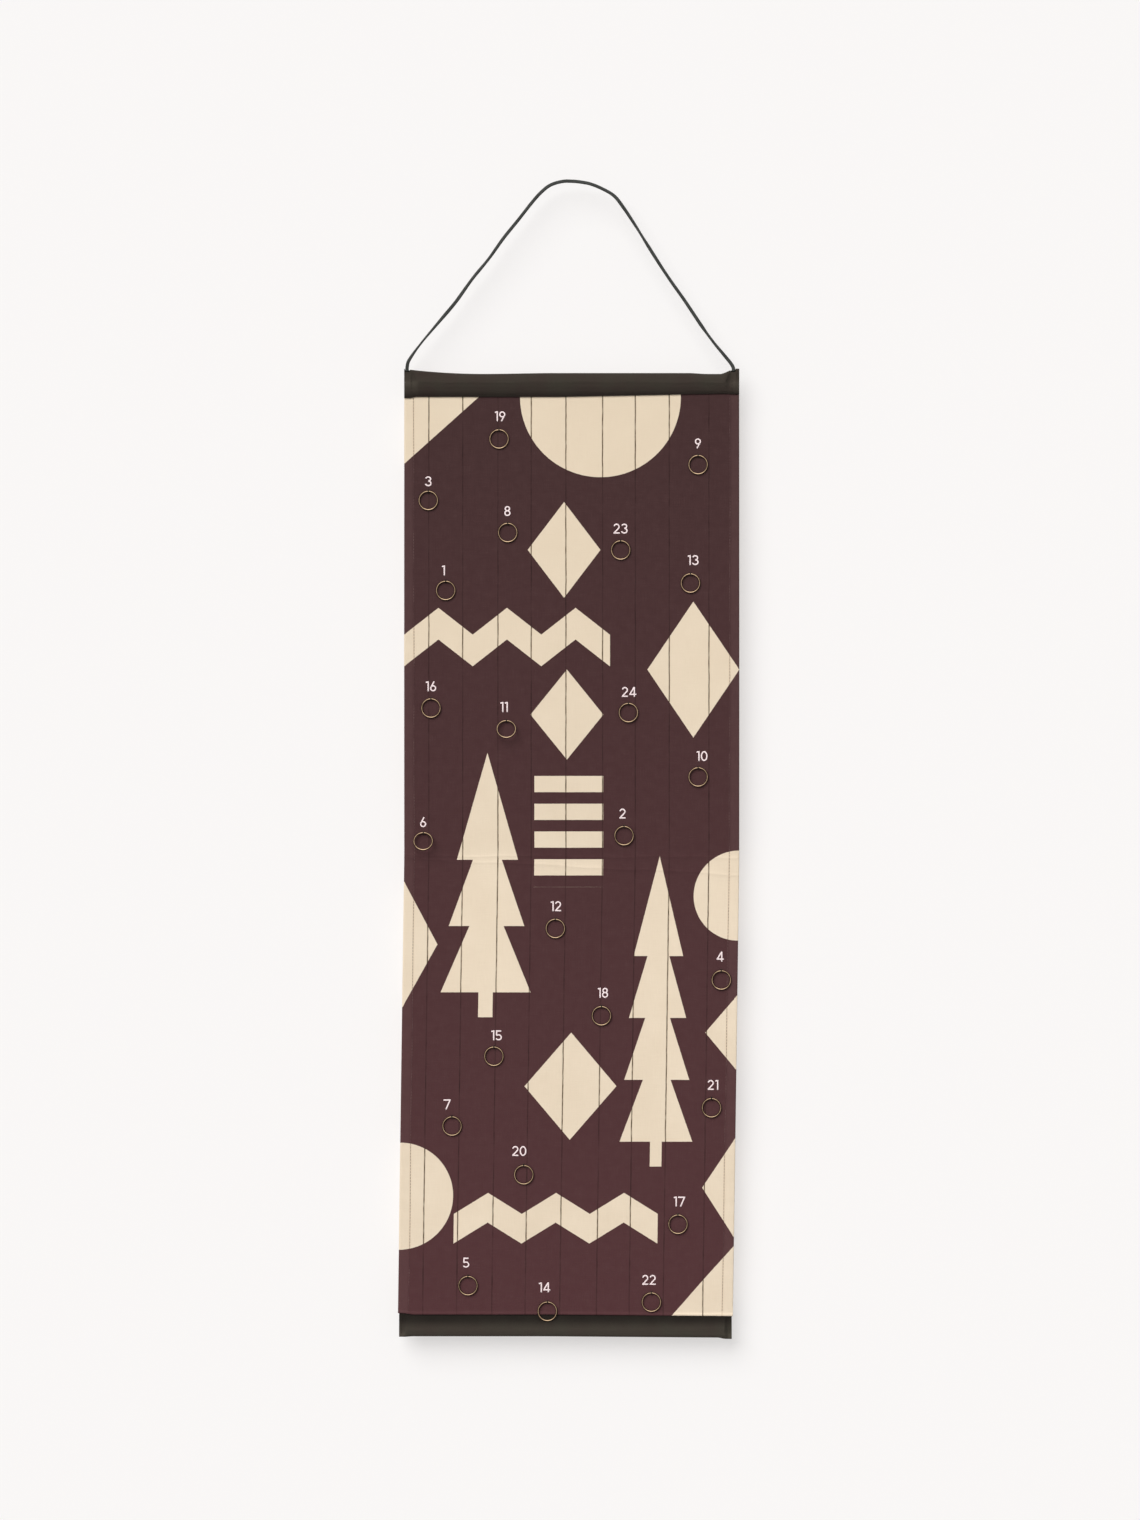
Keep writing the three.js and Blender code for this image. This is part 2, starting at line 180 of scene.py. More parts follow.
# %% [markdown]
# ## Shader sums as Python
#
# A pattern in a shader is a sum over a place on the surface, and Blender writes such a sum as a net of
# Math nodes. Python can write it as a sum again: a `Value` wraps a node's output, and each operator on it
# adds the Math node that does the work. Every other node comes from one method of `Finish`, which takes
# the node's type, its settings and its inputs.

# %% Wrap sockets so that Python's operators add nodes
class Value:
    """An output of a shader node. An operator on it adds a Math node."""

    def __init__(self, finish, socket):
        self.finish = finish
        self.socket = socket

    def math(self, operation, *inputs):
        return self.finish.node("Math", {"operation": operation}, dict(enumerate(inputs)))

    def __add__(self, other):
        return self.math("ADD", self, other)

    def __sub__(self, other):
        return self.math("SUBTRACT", self, other)

    def __rsub__(self, other):
        return self.math("SUBTRACT", other, self)

    def __mul__(self, other):
        return self.math("MULTIPLY", self, other)

    def __truediv__(self, other):
        return self.math("DIVIDE", self, other)

    def __pow__(self, other):
        return self.math("POWER", self, other)

    def __mod__(self, other):
        return self.math("FLOORED_MODULO", self, other)

    def __abs__(self):
        return self.math("ABSOLUTE", self)

    __radd__ = __add__
    __rmul__ = __mul__


def lowest(first, *others):
    for other in others:
        first = first.math("MINIMUM", first, other)
    return first


def highest(first, *others):
    for other in others:
        first = first.math("MAXIMUM", first, other)
    return first


def wave(value):
    return value.math("SINE", value)


def linear(srgb):
    """A colour as the photograph shows it, 0 to 255, as the light values that a shader takes."""
    shares = np.array(srgb) / 255
    light = np.where(shares <= 0.04045, shares / 12.92, ((shares + 0.055) / 1.055) ** 2.4)
    return (*(float(v) for v in light), 1.0)


class Finish:
    """A material under construction."""

    def __init__(self, name):
        self.material = bpy.data.materials.new(name)
        self.material.use_nodes = True
        self.tree = self.material.node_tree
        self.tree.nodes.clear()

    def node(self, kind, settings=None, inputs=None, output=0):
        """Adds a node, its settings first, then its inputs: numbers, colours or Values."""
        node = self.tree.nodes.new("ShaderNode" + kind)
        for name, value in (settings or {}).items():
            setattr(node, name, value)
        for name, value in (inputs or {}).items():
            if isinstance(value, Value):
                self.tree.links.new(value.socket, node.inputs[name])
            else:
                node.inputs[name].default_value = value
        return Value(self, node.outputs[output]) if node.outputs else None

    def split(self, vector):
        """The three numbers of a vector."""
        parts = self.node("SeparateXYZ", inputs={0: vector}).socket.node
        return [Value(self, output) for output in parts.outputs]

    def join(self, x, y, z):
        return self.node("CombineXYZ", inputs={0: x, 1: y, 2: z})

    def mix(self, share, first, second):
        """A colour between two colours."""
        inputs = {0: share, 6: first, 7: second}
        return self.node("Mix", {"data_type": "RGBA", "clamp_factor": True}, inputs, output=2)

    def noise(self, place, scale, detail=2.0, roughness=0.5):
        """Smooth noise from 0 to 1 over a place, with a number of lumps to its unit."""
        inputs = {"Vector": place, "Scale": scale, "Detail": detail, "Roughness": roughness}
        return self.node("TexNoise", inputs=inputs)

    def graded(self, value, stops):
        """A number that runs straight from stop to stop. A stop is a value and the number there."""
        level = stops[0][1]
        for (start, low), (end, high) in zip(stops, stops[1:]):
            level = self.clamped((value - start) * (1 / (end - start))) * (high - low) + level
        return level

    def clamped(self, value):
        return self.node("Math", {"operation": "ADD", "use_clamp": True}, {0: value, 1: 0.0})

    def surface(self, height=None, depth=0.1, **sockets):
        """Ends the material in a Principled surface. height is in shares of depth, a bump in mm."""
        inputs = {name.replace("_", " ").title().replace("Ior", "IOR"): v for name, v in sockets.items()}
        if height is not None:
            bump = {"Height": height, "Distance": depth * MM, "Strength": 1.0}
            inputs["Normal"] = self.node("Bump", inputs=bump)
        shader = self.node("BsdfPrincipled", inputs=inputs)
        self.node("OutputMaterial", inputs={"Surface": shader})
        return self.material


# %% [markdown]
# ## The lace
#
# The panel hangs on one flat leather lace. Under the panel's weight each side of it is almost straight,
# and over the hook it bends in a tight round arch. It is a free cord, so its route comes first and is the
# one that the frame's own lace follows: from the left corner of the top casing, over the hook, to the
# right corner. A curve object would give it a round or a flat section, but leather that is cut from a
# hide is a rounded rectangle. So it is a skin over some 270 rings, and it turns on itself as leather lace
# does: where its narrow side faces the front it looks half as wide.

# %% Lay the lace along its route
LACE_WIDTH = 3.6
LACE_THICKNESS = 2.2
LACE_SQUARENESS = 0.62  # exponent of the rounded rectangle: 1 is an ellipse
LACE_SIDES = 20
LACE_UNEVENNESS = 0.025
LACE_UNEVEN_BEATS = (47, 19)  # of a fast wave and a slow one, in radians over the whole lace
LACE_EVEN_SHARES = (0.02, 0.12)  # near its mouths the lace is even, and from here on as uneven as it gets
LACE_TURNS = [  # share of its length, and how far it has turned on itself there, in degrees
    (0, 0),
    (0.032, 50),
    (0.06, 84),
    (0.091, 66),
    (0.121, 40),
    (0.151, 0),
    (0.181, 12),
    (0.209, 45),
    (0.239, 45),
    (0.269, 54),
    (0.297, 38),
    (0.326, 28),
    (0.356, 28),
    (0.386, 34),
    (0.415, 32),
    (0.45, 28),
    (0.5, 20),
    (0.56, 34),
    (0.598, 20),
    (0.627, 38),
    (0.655, 50),
    (0.683, 66),
    (0.71, 32),
    (0.737, 30),
    (0.765, 42),
    (0.793, 36),
    (0.822, 34),
    (0.85, 20),
    (0.878, 0),
    (0.906, 58),
    (0.935, 56),
    (0.965, 34),
    (1, 0),
]
LACE_ROUTE = [
    (-171.9, -196.8),
    (-171.9, -192),
    (-169.4, -184.2),
    (-156.6, -166.5),
    (-136.9, -143.1),
    (-121, -124.1),
    (-103.6, -99.9),
    (-86.4, -78.9),
    (-71.5, -58),
    (-55.5, -38.2),
    (-42, -21),
    (-32.1, -9.9),
    (-22.2, -2.2),
    (-10, 1.5),
    (0, 1.8),
    (9, 1),
    (19.7, -1.1),
    (32, -6.1),
    (44.4, -13.6),
    (54.2, -25.9),
    (66.5, -44.4),
    (78.8, -64.2),
    (91.2, -83.9),
    (103.5, -102.4),
    (118.3, -123.3),
    (135.6, -149.2),
    (147.9, -166.1),
    (157.7, -178),
    (165.9, -188),
    (168.8, -193),
    (168.8, -196.8),
]


def smooth_line(points, steps):
    """Points on a smooth curve through the given ones, a number of steps between each two."""
    points = np.asarray(points, float)
    padded = np.vstack([2 * points[0] - points[1], points, 2 * points[-1] - points[-2]])
    share = np.linspace(0, 1, steps, endpoint=False)[:, None]
    parts = []
    for a, b, c, d in zip(padded, padded[1:], padded[2:], padded[3:]):
        slope_b = (c - a) / 2
        slope_c = (d - b) / 2
        bend = 2 * (b - c) + slope_b + slope_c
        sag = 3 * (c - b) - 2 * slope_b - slope_c
        parts.append(b + slope_b * share + sag * share**2 + bend * share**3)
    return np.vstack([*parts, points[-1:]])


def lengths_along(line):
    """How far along a line each of its points is."""
    return np.concatenate([[0], np.cumsum(np.linalg.norm(np.diff(line, axis=0), axis=1))])


def lace_rings(line):
    along = unit(np.gradient(line, axis=0))
    depth = np.array([0.0, 1.0, 0.0])
    flat = np.cross(along, depth)
    share = lengths_along(line) / lengths_along(line)[-1]
    free = smoothstep(share, *LACE_EVEN_SHARES) * smoothstep(1 - share, *LACE_EVEN_SHARES)
    turns = smooth_line(LACE_TURNS, steps=8)
    twist = np.radians(np.interp(share, turns[:, 0], turns[:, 1]))
    turn = np.linspace(0, 2 * math.pi, LACE_SIDES, endpoint=False)
    wide = np.sign(np.cos(turn)) * np.abs(np.cos(turn)) ** LACE_SQUARENESS * LACE_WIDTH / 2
    thick = np.sign(np.sin(turn)) * np.abs(np.sin(turn)) ** LACE_SQUARENESS * LACE_THICKNESS / 2
    fast, slow = LACE_UNEVEN_BEATS
    uneven = 1 + LACE_UNEVENNESS * free * np.sin(fast * share) * np.sin(slow * share)
    a = np.cos(twist)[:, None] * wide - np.sin(twist)[:, None] * thick
    b = np.sin(twist)[:, None] * wide + np.cos(twist)[:, None] * thick
    ring = a[..., None] * flat[:, None] + b[..., None] * depth
    return line[:, None] + uneven[:, None, None] * ring


lace_line = smooth_line([(x, 0, z) for x, z in LACE_ROUTE], steps=9)

# %% [markdown]
# Dark grey leather has a fine pebbled grain, a dull sheen on its face and slightly lighter rubbed spots.
# Two noises are enough: a fine one for the grain, which is bump, and a slow one for the rubbing, which
# changes the colour and the roughness together.

# %% Finish the lace
LEATHER_GREY = (33, 35, 33)
LEATHER_RUBBED = (56, 58, 55)


def leather_finish():
    finish = Finish("dark_leather")
    place = finish.node("TexCoord", output="Object")
    rubbed = finish.noise(place, 90.0, detail=3.0)
    grain = finish.noise(place, 2600.0, detail=2.0, roughness=0.7)
    cracks = finish.node("TexVoronoi", {"feature": "DISTANCE_TO_EDGE"}, {"Vector": place, "Scale": 1500.0})
    colour = finish.mix(rubbed * 1.6 - 0.3, linear(LEATHER_GREY), linear(LEATHER_RUBBED))
    return finish.surface(
        height=grain * 0.5 + cracks * 1.5,
        depth=0.12,
        base_color=colour,
        roughness=rubbed * -0.25 + 0.68,
        specular_ior_level=0.35,
    )


leather = leather_finish()
lace_skin = Skins()
lace_skin.add(lace_rings(lace_line))
lace = lace_skin.make("leather_lace", leather)
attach(lace, "hanger")
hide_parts("hanging_lace")
for tail in ("left_lace_tail", "right_lace_tail"):
    frame["nodes"][tail].data.materials.clear()
    frame["nodes"][tail].data.materials.append(leather)
print("the leather takes", len(leather.node_tree.nodes), "nodes")

# %% [markdown]
# ## The lie of the cloth
#
# The cloth is as wide as the top casing and as long as the distance between the casings. It was folded
# in half in its packet, so each half bows forward a little, and its foot has swung a few millimetres to
# the left. A cloth simulation would find its own shape, away from the frame, so the lie is written as
# formulas, the same that the frame's cloth follows. Places on the cloth are `u`, across from its middle,
# and `v`, down from the top casing.

# %% Write the lie of the cloth as formulas
top_low, top_high = box_mm("top_casing")
foot_low, foot_high = box_mm("bottom_casing")
cloth_low, _ = box_mm("printed_cloth")

CLOTH_WIDTH = top_high[0] - top_low[0]
CLOTH_TOP = top_low[2]
CLOTH_FOOT = cloth_low[2]
CLOTH_DROP = CLOTH_TOP - CLOTH_FOOT
FOOT_SWAY = (foot_low[0] + foot_high[0]) / 2
CLOTH_THICKNESS = 0.8
BELLY = 3
EDGE_CURL = 1.2
SIDE_WAVE = 1
FOLD_SHARE = 0.5
FOOT_SLOPE = 1.5  # the right half of the foot hangs lower, by this much at its end
FOOT_SLOPE_START = -20
FOOT_ROLL_HEIGHT = 3
FOOT_ROLL_DEPTH = 0.6
FOOT_ROLL_HEIGHT_SHARES = [0, 0.1, 0.35, 0.7, 1]
FOOT_ROLL_DEPTH_SHARES = [0.25, 0.7, 1, 0.75, 0]

CREASES = [(480.2, 0.005), (490.6, 0.05)]  # both sides of the packet's fold, and how each slopes
CREASE_RISE = 0.42
CREASE_REACH = 1.5
CREASE_WANDER = [(0.7, 23, 0), (0.35, 8.3, 1)]  # waves in each crease: height, length and start
RING_DIMPLE = 0.28
RING_DIMPLE_REACH = 8
RING_DIMPLE_STRETCH = 1.3  # a dimple is this much taller than wide
HEM_WIDTH = 11.5
HEM_SEAM_INSET = 9.7  # at the top; towards the foot the seam drifts in by HEM_SEAM_DRIFT
HEM_SEAM_DRIFT = 1.6
HEM_PUCKER = 0.22
HEM_PUCKER_PITCH = 21
HEM_PUCKER_DRIFT = 1.3  # how far its beat gets ahead and behind, and how many beats that takes
HEM_PUCKER_DRIFT_BEATS = 3.7
HEM_PUCKER_INSETS = (22, 6)  # it grows from the first distance from the side to the second
PUCKER_BELOW_TOP = (4, 30)  # and likewise below the top casing
PUCKER_ABOVE_FOOT = (10, 40)


def sway_at(v):
    return FOOT_SWAY * np.maximum(0, v / CLOTH_DROP - FOLD_SHARE) / (1 - FOLD_SHARE)


def foot_drop(u):
    return FOOT_SLOPE * np.clip((u - FOOT_SLOPE_START) / (CLOTH_WIDTH / 2 - FOOT_SLOPE_START), 0, 1)


def cloth_middle(u, v):
    """Depth of the middle of the cloth, before its small creases."""
    across = u / CLOTH_WIDTH + 0.5
    share = np.clip(v / CLOTH_DROP, 0, 1)
    free = np.sin(math.pi * share)
    belly = np.abs(np.sin(math.pi * share / FOLD_SHARE))
    side_wave = np.sin(3 * math.pi * across + 1)
    curl = (2 * across - 1) ** 4
    return -BELLY * belly - EDGE_CURL * curl * free + SIDE_WAVE * side_wave * free


def foot_roll(v):
    """The cloth's foot is turned over the seam as a soft roll: how far it stands forward."""
    height = (CLOTH_DROP - v) / FOOT_ROLL_HEIGHT
    depth = np.interp(height, FOOT_ROLL_HEIGHT_SHARES, FOOT_ROLL_DEPTH_SHARES, right=0)
    return FOOT_ROLL_DEPTH * depth


ring_seats = {}
for joint in frame["joints"]:
    if joint["name"].startswith("ring_"):
        day = int(joint["name"].split("_")[1])
        ring_seats[day] = np.array(joint["pos_m"]) / MM
print(len(ring_seats), "rings, cloth", CLOTH_WIDTH, "by", round(CLOTH_DROP, 1), "mm")


def relief(u, v):
    """Small creases, forward: the packet's fold, a dimple at each ring, and the pucker of the hems."""
    free = smoothstep(v, *PUCKER_BELOW_TOP) * smoothstep(CLOTH_DROP - v, *PUCKER_ABOVE_FOOT)
    forward = 0 * (u + v)
    wander = sum(height * np.sin(u / length + start) for height, length, start in CREASE_WANDER)
    for crease, slope in CREASES:
        distance = np.abs(v - crease - slope * u - wander)
        forward = forward + CREASE_RISE * np.exp(-distance / CREASE_REACH)
    for x, _, z in ring_seats.values():
        seat_v = CLOTH_TOP - z
        distance = np.hypot(u - (x - sway_at(seat_v)), (v - seat_v) / RING_DIMPLE_STRETCH)
        forward = forward - RING_DIMPLE * np.exp(-((distance / RING_DIMPLE_REACH) ** 2))
    at_hem = smoothstep(np.abs(u), *(CLOTH_WIDTH / 2 - inset for inset in HEM_PUCKER_INSETS))
    phase = 2 * math.pi * v / HEM_PUCKER_PITCH
    drift = HEM_PUCKER_DRIFT * np.sin(phase / HEM_PUCKER_DRIFT_BEATS)
    pucker = 0.5 + 0.5 * np.sin(phase + drift + np.sign(u))
    return forward - HEM_PUCKER * at_hem * pucker * free


def cloth_front(u, v):
    """Depth of the cloth's printed face."""
    return cloth_middle(u, v) - CLOTH_THICKNESS / 2 - foot_roll(v) - relief(u, v)


def on_cloth(x, z):
    """Depth of the printed face behind a point of the picture plane."""
    v = CLOTH_TOP - z
    return cloth_front(x - sway_at(v), v)


# %% [markdown]
# ## The print
#
# The cloth is a cream canvas, printed dark maroon except for large plain shapes, and thin brown
# pinstripes run down all of it. A painted image would blur close up. Here each shape is its distance:
# the number of millimetres from a place on the cloth to the shape's edge, below zero inside. The least
# of all distances is the distance to the whole pattern, and cream begins where it drops below zero.
# The shapes are a winter set of lozenges, fir trees, zigzags and discs, laid out so that every number
# and ring stays on the dark ground.

# %% Give each printed shape its distance
def lozenge(u, v, middle_u, middle_v, half_width, half_height):
    to_millimetres = 1 / math.hypot(1 / half_width, 1 / half_height)
    corner_sum = abs(u - middle_u) / half_width + abs(v - middle_v) / half_height
    return (corner_sum - 1) * to_millimetres


def disc(u, v, middle_u, middle_v, radius):
    return ((u - middle_u) ** 2 + (v - middle_v) ** 2) ** 0.5 - radius


def rectangle(u, v, left, right, top, foot):
    beside = abs(u - (left + right) / 2) - (right - left) / 2
    above = abs(v - (top + foot) / 2) - (foot - top) / 2
    return highest(beside, above)


def zigzag(u, v, left, right, middle, swing, period, thickness):
    slope = 4 * swing / period
    level = abs((u - left) / period % 1 - 0.5) * (4 * swing) - swing
    band = (abs(v - middle - level) - thickness / 2) * (1 / math.hypot(1, slope))
    return highest(band, abs(u - (left + right) / 2) - (right - left) / 2)


TIER_STEP = 0.62  # each tier of a fir starts this much of a tier lower
TOP_TIER_WIDTH = 0.68
TRUNK_WIDTH = 0.16


def fir(u, v, middle_u, tip, foot, half_width, tiers, trunk):
    height = (foot - tip) / (1 + (tiers - 1) * TIER_STEP)
    shapes = []
    for tier in range(tiers):
        tier_tip = tip + tier * TIER_STEP * height
        half = half_width * (TOP_TIER_WIDTH + (1 - TOP_TIER_WIDTH) * tier / (tiers - 1))
        slope = half / height
        side = (abs(u - middle_u) - (v - tier_tip) * slope) * (1 / math.hypot(1, slope))
        shapes.append(highest(side, v - (tier_tip + height)))
    half_trunk = half_width * TRUNK_WIDTH
    shapes.append(rectangle(u, v, middle_u - half_trunk, middle_u + half_trunk, foot - 1, foot + trunk))
    return lowest(*shapes)


def ladder(u, v, middle_u, top, half_width, thickness, pitch, bars):
    """Level bars under each other."""
    foot = top + pitch * bars
    middle = thickness / 2
    in_bar = abs((v - top) % pitch - middle) - middle
    return highest(in_bar, rectangle(u, v, middle_u - half_width, middle_u + half_width, top, foot))


def pattern_distance(u, v):
    left, right = -CLOTH_WIDTH / 2, CLOTH_WIDTH / 2
    return lowest(
        disc(u, v, 30, 0, 84),
        lozenge(u, v, left, 0, 78, 70),
        lozenge(u, v, 127, 285, 48, 71),
        zigzag(u, v, left, 40, 251, 14, 71.6, 33),
        lozenge(u, v, -8, 160, 38, 50),
        lozenge(u, v, -5, 332, 38, 47),
        fir(u, v, -88, 372, 622, 47, 3, 26),
        ladder(u, v, -3, 396, 36, 17, 29, 4),
        lozenge(u, v, left, 572, 36, 66),
        fir(u, v, 92, 480, 778, 38, 4, 26),
        disc(u, v, right, 521, 47),
        lozenge(u, v, right, 664, 33, 39),
        lozenge(u, v, right, 826, 34, 52),
        lozenge(u, v, 2, 720, 48, 56),
        disc(u, v, left, 835, 56),
        zigzag(u, v, -118, 95, 858, 11, 71, 31),
        lozenge(u, v, right, 959, 64, 72),
    )


# %% [markdown]
# ## The canvas
#
# Canvas is a plain weave: threads that go over and under each other, a little uneven in thickness. Seen
# from a step away that leaves a soft heather in the colour, and seen close it is a fine relief, so both
# the colour and the bump come from the same threads. The pinstripes wobble by half a millimetre and
# break up where the ink ran thin. On the hems, where the second layer lifts the cloth, the dark print is
# rubbed paler. The back of the cloth isn't printed: there the pattern only shows through.

# %% Finish the canvas
THREAD_PITCH = 0.62
THREAD_EVENNESS = 0.06  # changes of thickness in a millimetre along a thread
WEAVE_DEPTH = 0.14
INK_EDGE = 0.35
CREAM_TOP = (233, 217, 192)
CREAM_FOOT = (242, 226, 203)
CREAM_DEEP = (225, 207, 182)
MAROON_TOP = (67, 47, 47)
MAROON_FOOT = (83, 53, 55)
MAROON_LINT = (110, 84, 83)
STRIPE_ON_CREAM = (76, 57, 36)
# Painted shade in the groove along each hem's seam, on the cream.
SEAM_SHADE_ON_CREAM = (196, 170, 142)
STRIPE_ON_MAROON = (46, 31, 30)
BARE_DEEP = (214, 196, 172)
BARE_PALE = (228, 213, 192)
SHOWN_DEEP = (186, 164, 148)  # where the dark print shows through to the back
SHOWN_PALE = (204, 184, 166)
PINSTRIPES = [-149.3, -113.9, -77.1, -42.3, -6.1, 32.2, 66.4, 101.9, 143.3]
PINSTRIPE_WIDTH = 1.25
PINSTRIPE_WOBBLE = 1.2


class Canvas(Finish):
    """What both sides of the cloth share: the place on it, its threads and its printed pattern."""

    def __init__(self, name):
        super().__init__(name)
        place = self.node("UVMap", {"uv_map": "flat_place"})
        x, y, _ = self.split(place)
        self.u = x * (1 / MM)
        self.v = y * (1 / MM)
        across = self.join(self.u * THREAD_EVENNESS, self.v * (1 / THREAD_PITCH), 0.0)
        down = self.join(self.u * (1 / THREAD_PITCH), self.v * THREAD_EVENNESS, 5.0)
        self.across_threads = self.noise(across, 1.0)
        self.down_threads = self.noise(down, 1.0)
        self.heather = self.across_threads * 0.5 + self.down_threads * 0.5
        self.place = self.join(self.u, self.v, 0.0)
        self.clouds = self.noise(self.place, 0.02, detail=3.0)

    def weave(self):
        """Height of the threads, from 0 to 1, thicker where a thread is."""
        turn = 2 * math.pi / THREAD_PITCH
        checks = wave(self.u * turn) * wave(self.v * turn)
        return checks * 0.28 + self.across_threads * 0.5 + self.down_threads * 0.5

    def pattern(self):
        """1 where the cloth is cream, 0 where it is printed dark."""
        ragged = (self.across_threads + self.down_threads - 1) * INK_EDGE
        distance = pattern_distance(self.u, self.v) + ragged
        return self.clamped(distance * (-1 / INK_EDGE) + 0.5)

    def pinstripes(self):
        wobble = self.noise(self.join(0.0, self.v * 0.035, 2.0), 1.0, detail=3.0)
        line = self.u + (wobble - 0.5) * PINSTRIPE_WOBBLE
        distance = lowest(*[abs(line - stripe) for stripe in PINSTRIPES])
        tone_share = self.noise(self.join(self.u * 0.9, self.v * 0.11, 8.0), 1.0, detail=3.0)
        inked = self.clamped(distance * (-2.2 / PINSTRIPE_WIDTH) + 1.6)
        return inked * self.clamped(tone_share * 1.5 + 0.12)

    def past_hem_seam(self):
        """Millimetres from the seam of the nearer hem towards the side."""
        inset = self.v * (HEM_SEAM_DRIFT / CLOTH_DROP) + HEM_SEAM_INSET
        return abs(self.u) - CLOTH_WIDTH / 2 + inset

    def woven(self, colour, roughness):
        """Ends the material in a matt woven surface."""
        return self.surface(
            height=self.weave(),
            depth=WEAVE_DEPTH,
            base_color=colour,
            roughness=self.heather * 0.1 + roughness,
            specular_ior_level=0.12,
        )


def print_finish():
    finish = Canvas("printed_canvas")
    heather = finish.heather
    down = finish.clamped(finish.v / CLOTH_DROP)
    cream = finish.mix(finish.clamped(down * 1.6), linear(CREAM_TOP), linear(CREAM_FOOT))
    cream = finish.mix(finish.clouds * 0.7 + heather * 0.9 - 0.35, linear(CREAM_DEEP), cream)
    maroon = finish.mix(down, linear(MAROON_TOP), linear(MAROON_FOOT))
    stripe = finish.pinstripes()
    faint = finish.noise(finish.join(finish.u * 0.02, finish.v * 0.03, 3.0), 1.0)
    maroon = finish.mix(stripe * finish.clamped(faint * 1.6 - 0.25), maroon, linear(STRIPE_ON_MAROON))
    past_seam = finish.past_hem_seam()
    on_hem = finish.clamped(past_seam * 0.25 + 0.3)
    blotches = finish.noise(finish.place, 0.11, detail=2.0) - 0.5
    lint = finish.clamped(heather * 2.6 - 1.35) * 0.3 + blotches * 0.16 + on_hem * 0.2 + 0.03
    maroon = finish.mix(lint, maroon, linear(MAROON_LINT))
    # Painted shade along the groove of each hem's seam, on the cream.
    cream = finish.mix(finish.clamped(1 - abs(past_seam) * 0.8) * 0.45, cream, linear(SEAM_SHADE_ON_CREAM))
    cream = finish.mix(stripe, cream, linear(STRIPE_ON_CREAM))
    return finish.woven(finish.mix(finish.pattern(), maroon, cream), 0.86)


def reverse_finish():
    finish = Canvas("canvas_reverse")
    tint = finish.clouds * 0.7 + finish.heather * 0.8 - 0.3
    bare = finish.mix(tint, linear(BARE_DEEP), linear(BARE_PALE))
    shadowed = finish.mix(finish.heather, linear(SHOWN_DEEP), linear(SHOWN_PALE))
    return finish.woven(finish.mix(finish.pattern(), shadowed, bare), 0.88)


printed_canvas = print_finish()
canvas_reverse = reverse_finish()
print("the print takes", len(printed_canvas.node_tree.nodes), "nodes")

# %% [markdown]
# ## The cloth
#
# Each side of the real cloth is turned back by 11.5 mm and sewn. So a section across it starts at the inner
# edge of one hem on the back, goes round the soft fold at the side, over the front, round the other fold
# and back. The hem is folded from the same cloth, so its back shows the printed side. Rows of such
# sections, closer together at the creases and at the rolled foot, make one closed skin. Each point
# also keeps its place on the flat cloth, as a UV map that the print reads.

# %% Lay rows of sections over the cloth
HEM_STEP = 0.3
HEM_START = 1.5 * HEM_STEP  # between the two close rows where the hem's second layer begins
HEM_SHARES = [1, 0.6, 0.25]  # points of a section on the back of a hem, from its inner edge outwards
HEM_POINTS = 1 + len(HEM_SHARES)
SEAM_LAP = 8
GRID = 4
GRID_END = 10  # above the foot, where closer rows take over
CREASE_GRID = 0.8
CREASE_ROWS = (468, 504)
FOOT_ROWS = [2, 1.5, 1, 0.85, 0.7, 0.5, 0.35, 0.2, 0.1, 0.04, 0]  # heights above the foot, in rolls
FOLD_STEPS = 6
FOLD_ROOM = 0.5  # the round of the fold takes this much of the flat cloth on each side of its middle
FRONT_COLUMNS = 86
FRONT_MARGIN = 3  # from the side of the cloth to the first column
BACK_COLUMNS = 80
BACK_MARGIN = 4  # from the hem to the first column


def row_places():
    """Places down the cloth where a section is made."""
    regular = np.arange(GRID, CLOTH_DROP - GRID_END, GRID)
    near_creases = np.arange(*CREASE_ROWS, CREASE_GRID)
    hem_foot = CLOTH_DROP - SEAM_LAP
    hem_ends = [HEM_STEP, 2 * HEM_STEP, hem_foot - 2 * HEM_STEP, hem_foot - HEM_STEP]
    foot = CLOTH_DROP - FOOT_ROLL_HEIGHT * np.array(FOOT_ROWS)
    return np.unique(np.round([-SEAM_LAP, 0, *regular, *near_creases, *hem_ends, *foot], 3))


def cloth_section(v, hemmed):
    """Outline of the cloth at a height: place across, depth behind the middle, place on the flat cloth."""
    half = CLOTH_WIDTH / 2
    turned = HEM_WIDTH - HEM_STEP
    front_depth = -CLOTH_THICKNESS / 2
    hem_depth = CLOTH_THICKNESS * (1.5 if hemmed else 0.5)
    radius = (hem_depth - front_depth) / 2
    outline = []
    for back in (HEM_WIDTH, *(turned * share for share in HEM_SHARES)):
        depth = CLOTH_THICKNESS / 2 if back == HEM_WIDTH else hem_depth
        outline.append((back - half, depth, -half - back))
    for turn in np.linspace(0, math.pi, FOLD_STEPS + 1):
        place = radius * (1 - math.sin(turn)) - half
        depth = (hem_depth + front_depth) / 2 + radius * math.cos(turn)
        outline.append((place, depth, -half - FOLD_ROOM * math.cos(turn)))
    right = [(-place, depth, -flat) for place, depth, flat in reversed(outline)]
    front_columns = np.linspace(FRONT_MARGIN - half, half - FRONT_MARGIN, FRONT_COLUMNS)
    front = [(place, front_depth, place) for place in front_columns]
    bare = half - HEM_WIDTH - BACK_MARGIN
    back = [(-place, CLOTH_THICKNESS / 2, -place) for place in np.linspace(-bare, bare, BACK_COLUMNS)]
    return np.array([*outline, *front, *right, *back])


print(len(row_places()), "rows of", len(cloth_section(0, False)), "points")

# %% [markdown]
# One flat face could close each end of the skin, as it does on a tube. But the foot isn't level, and
# Blender cuts a long uneven face into triangles of its own choice, which can leave the inside open to
# view. So the ends are closed here, by small triangles between the front and the back.

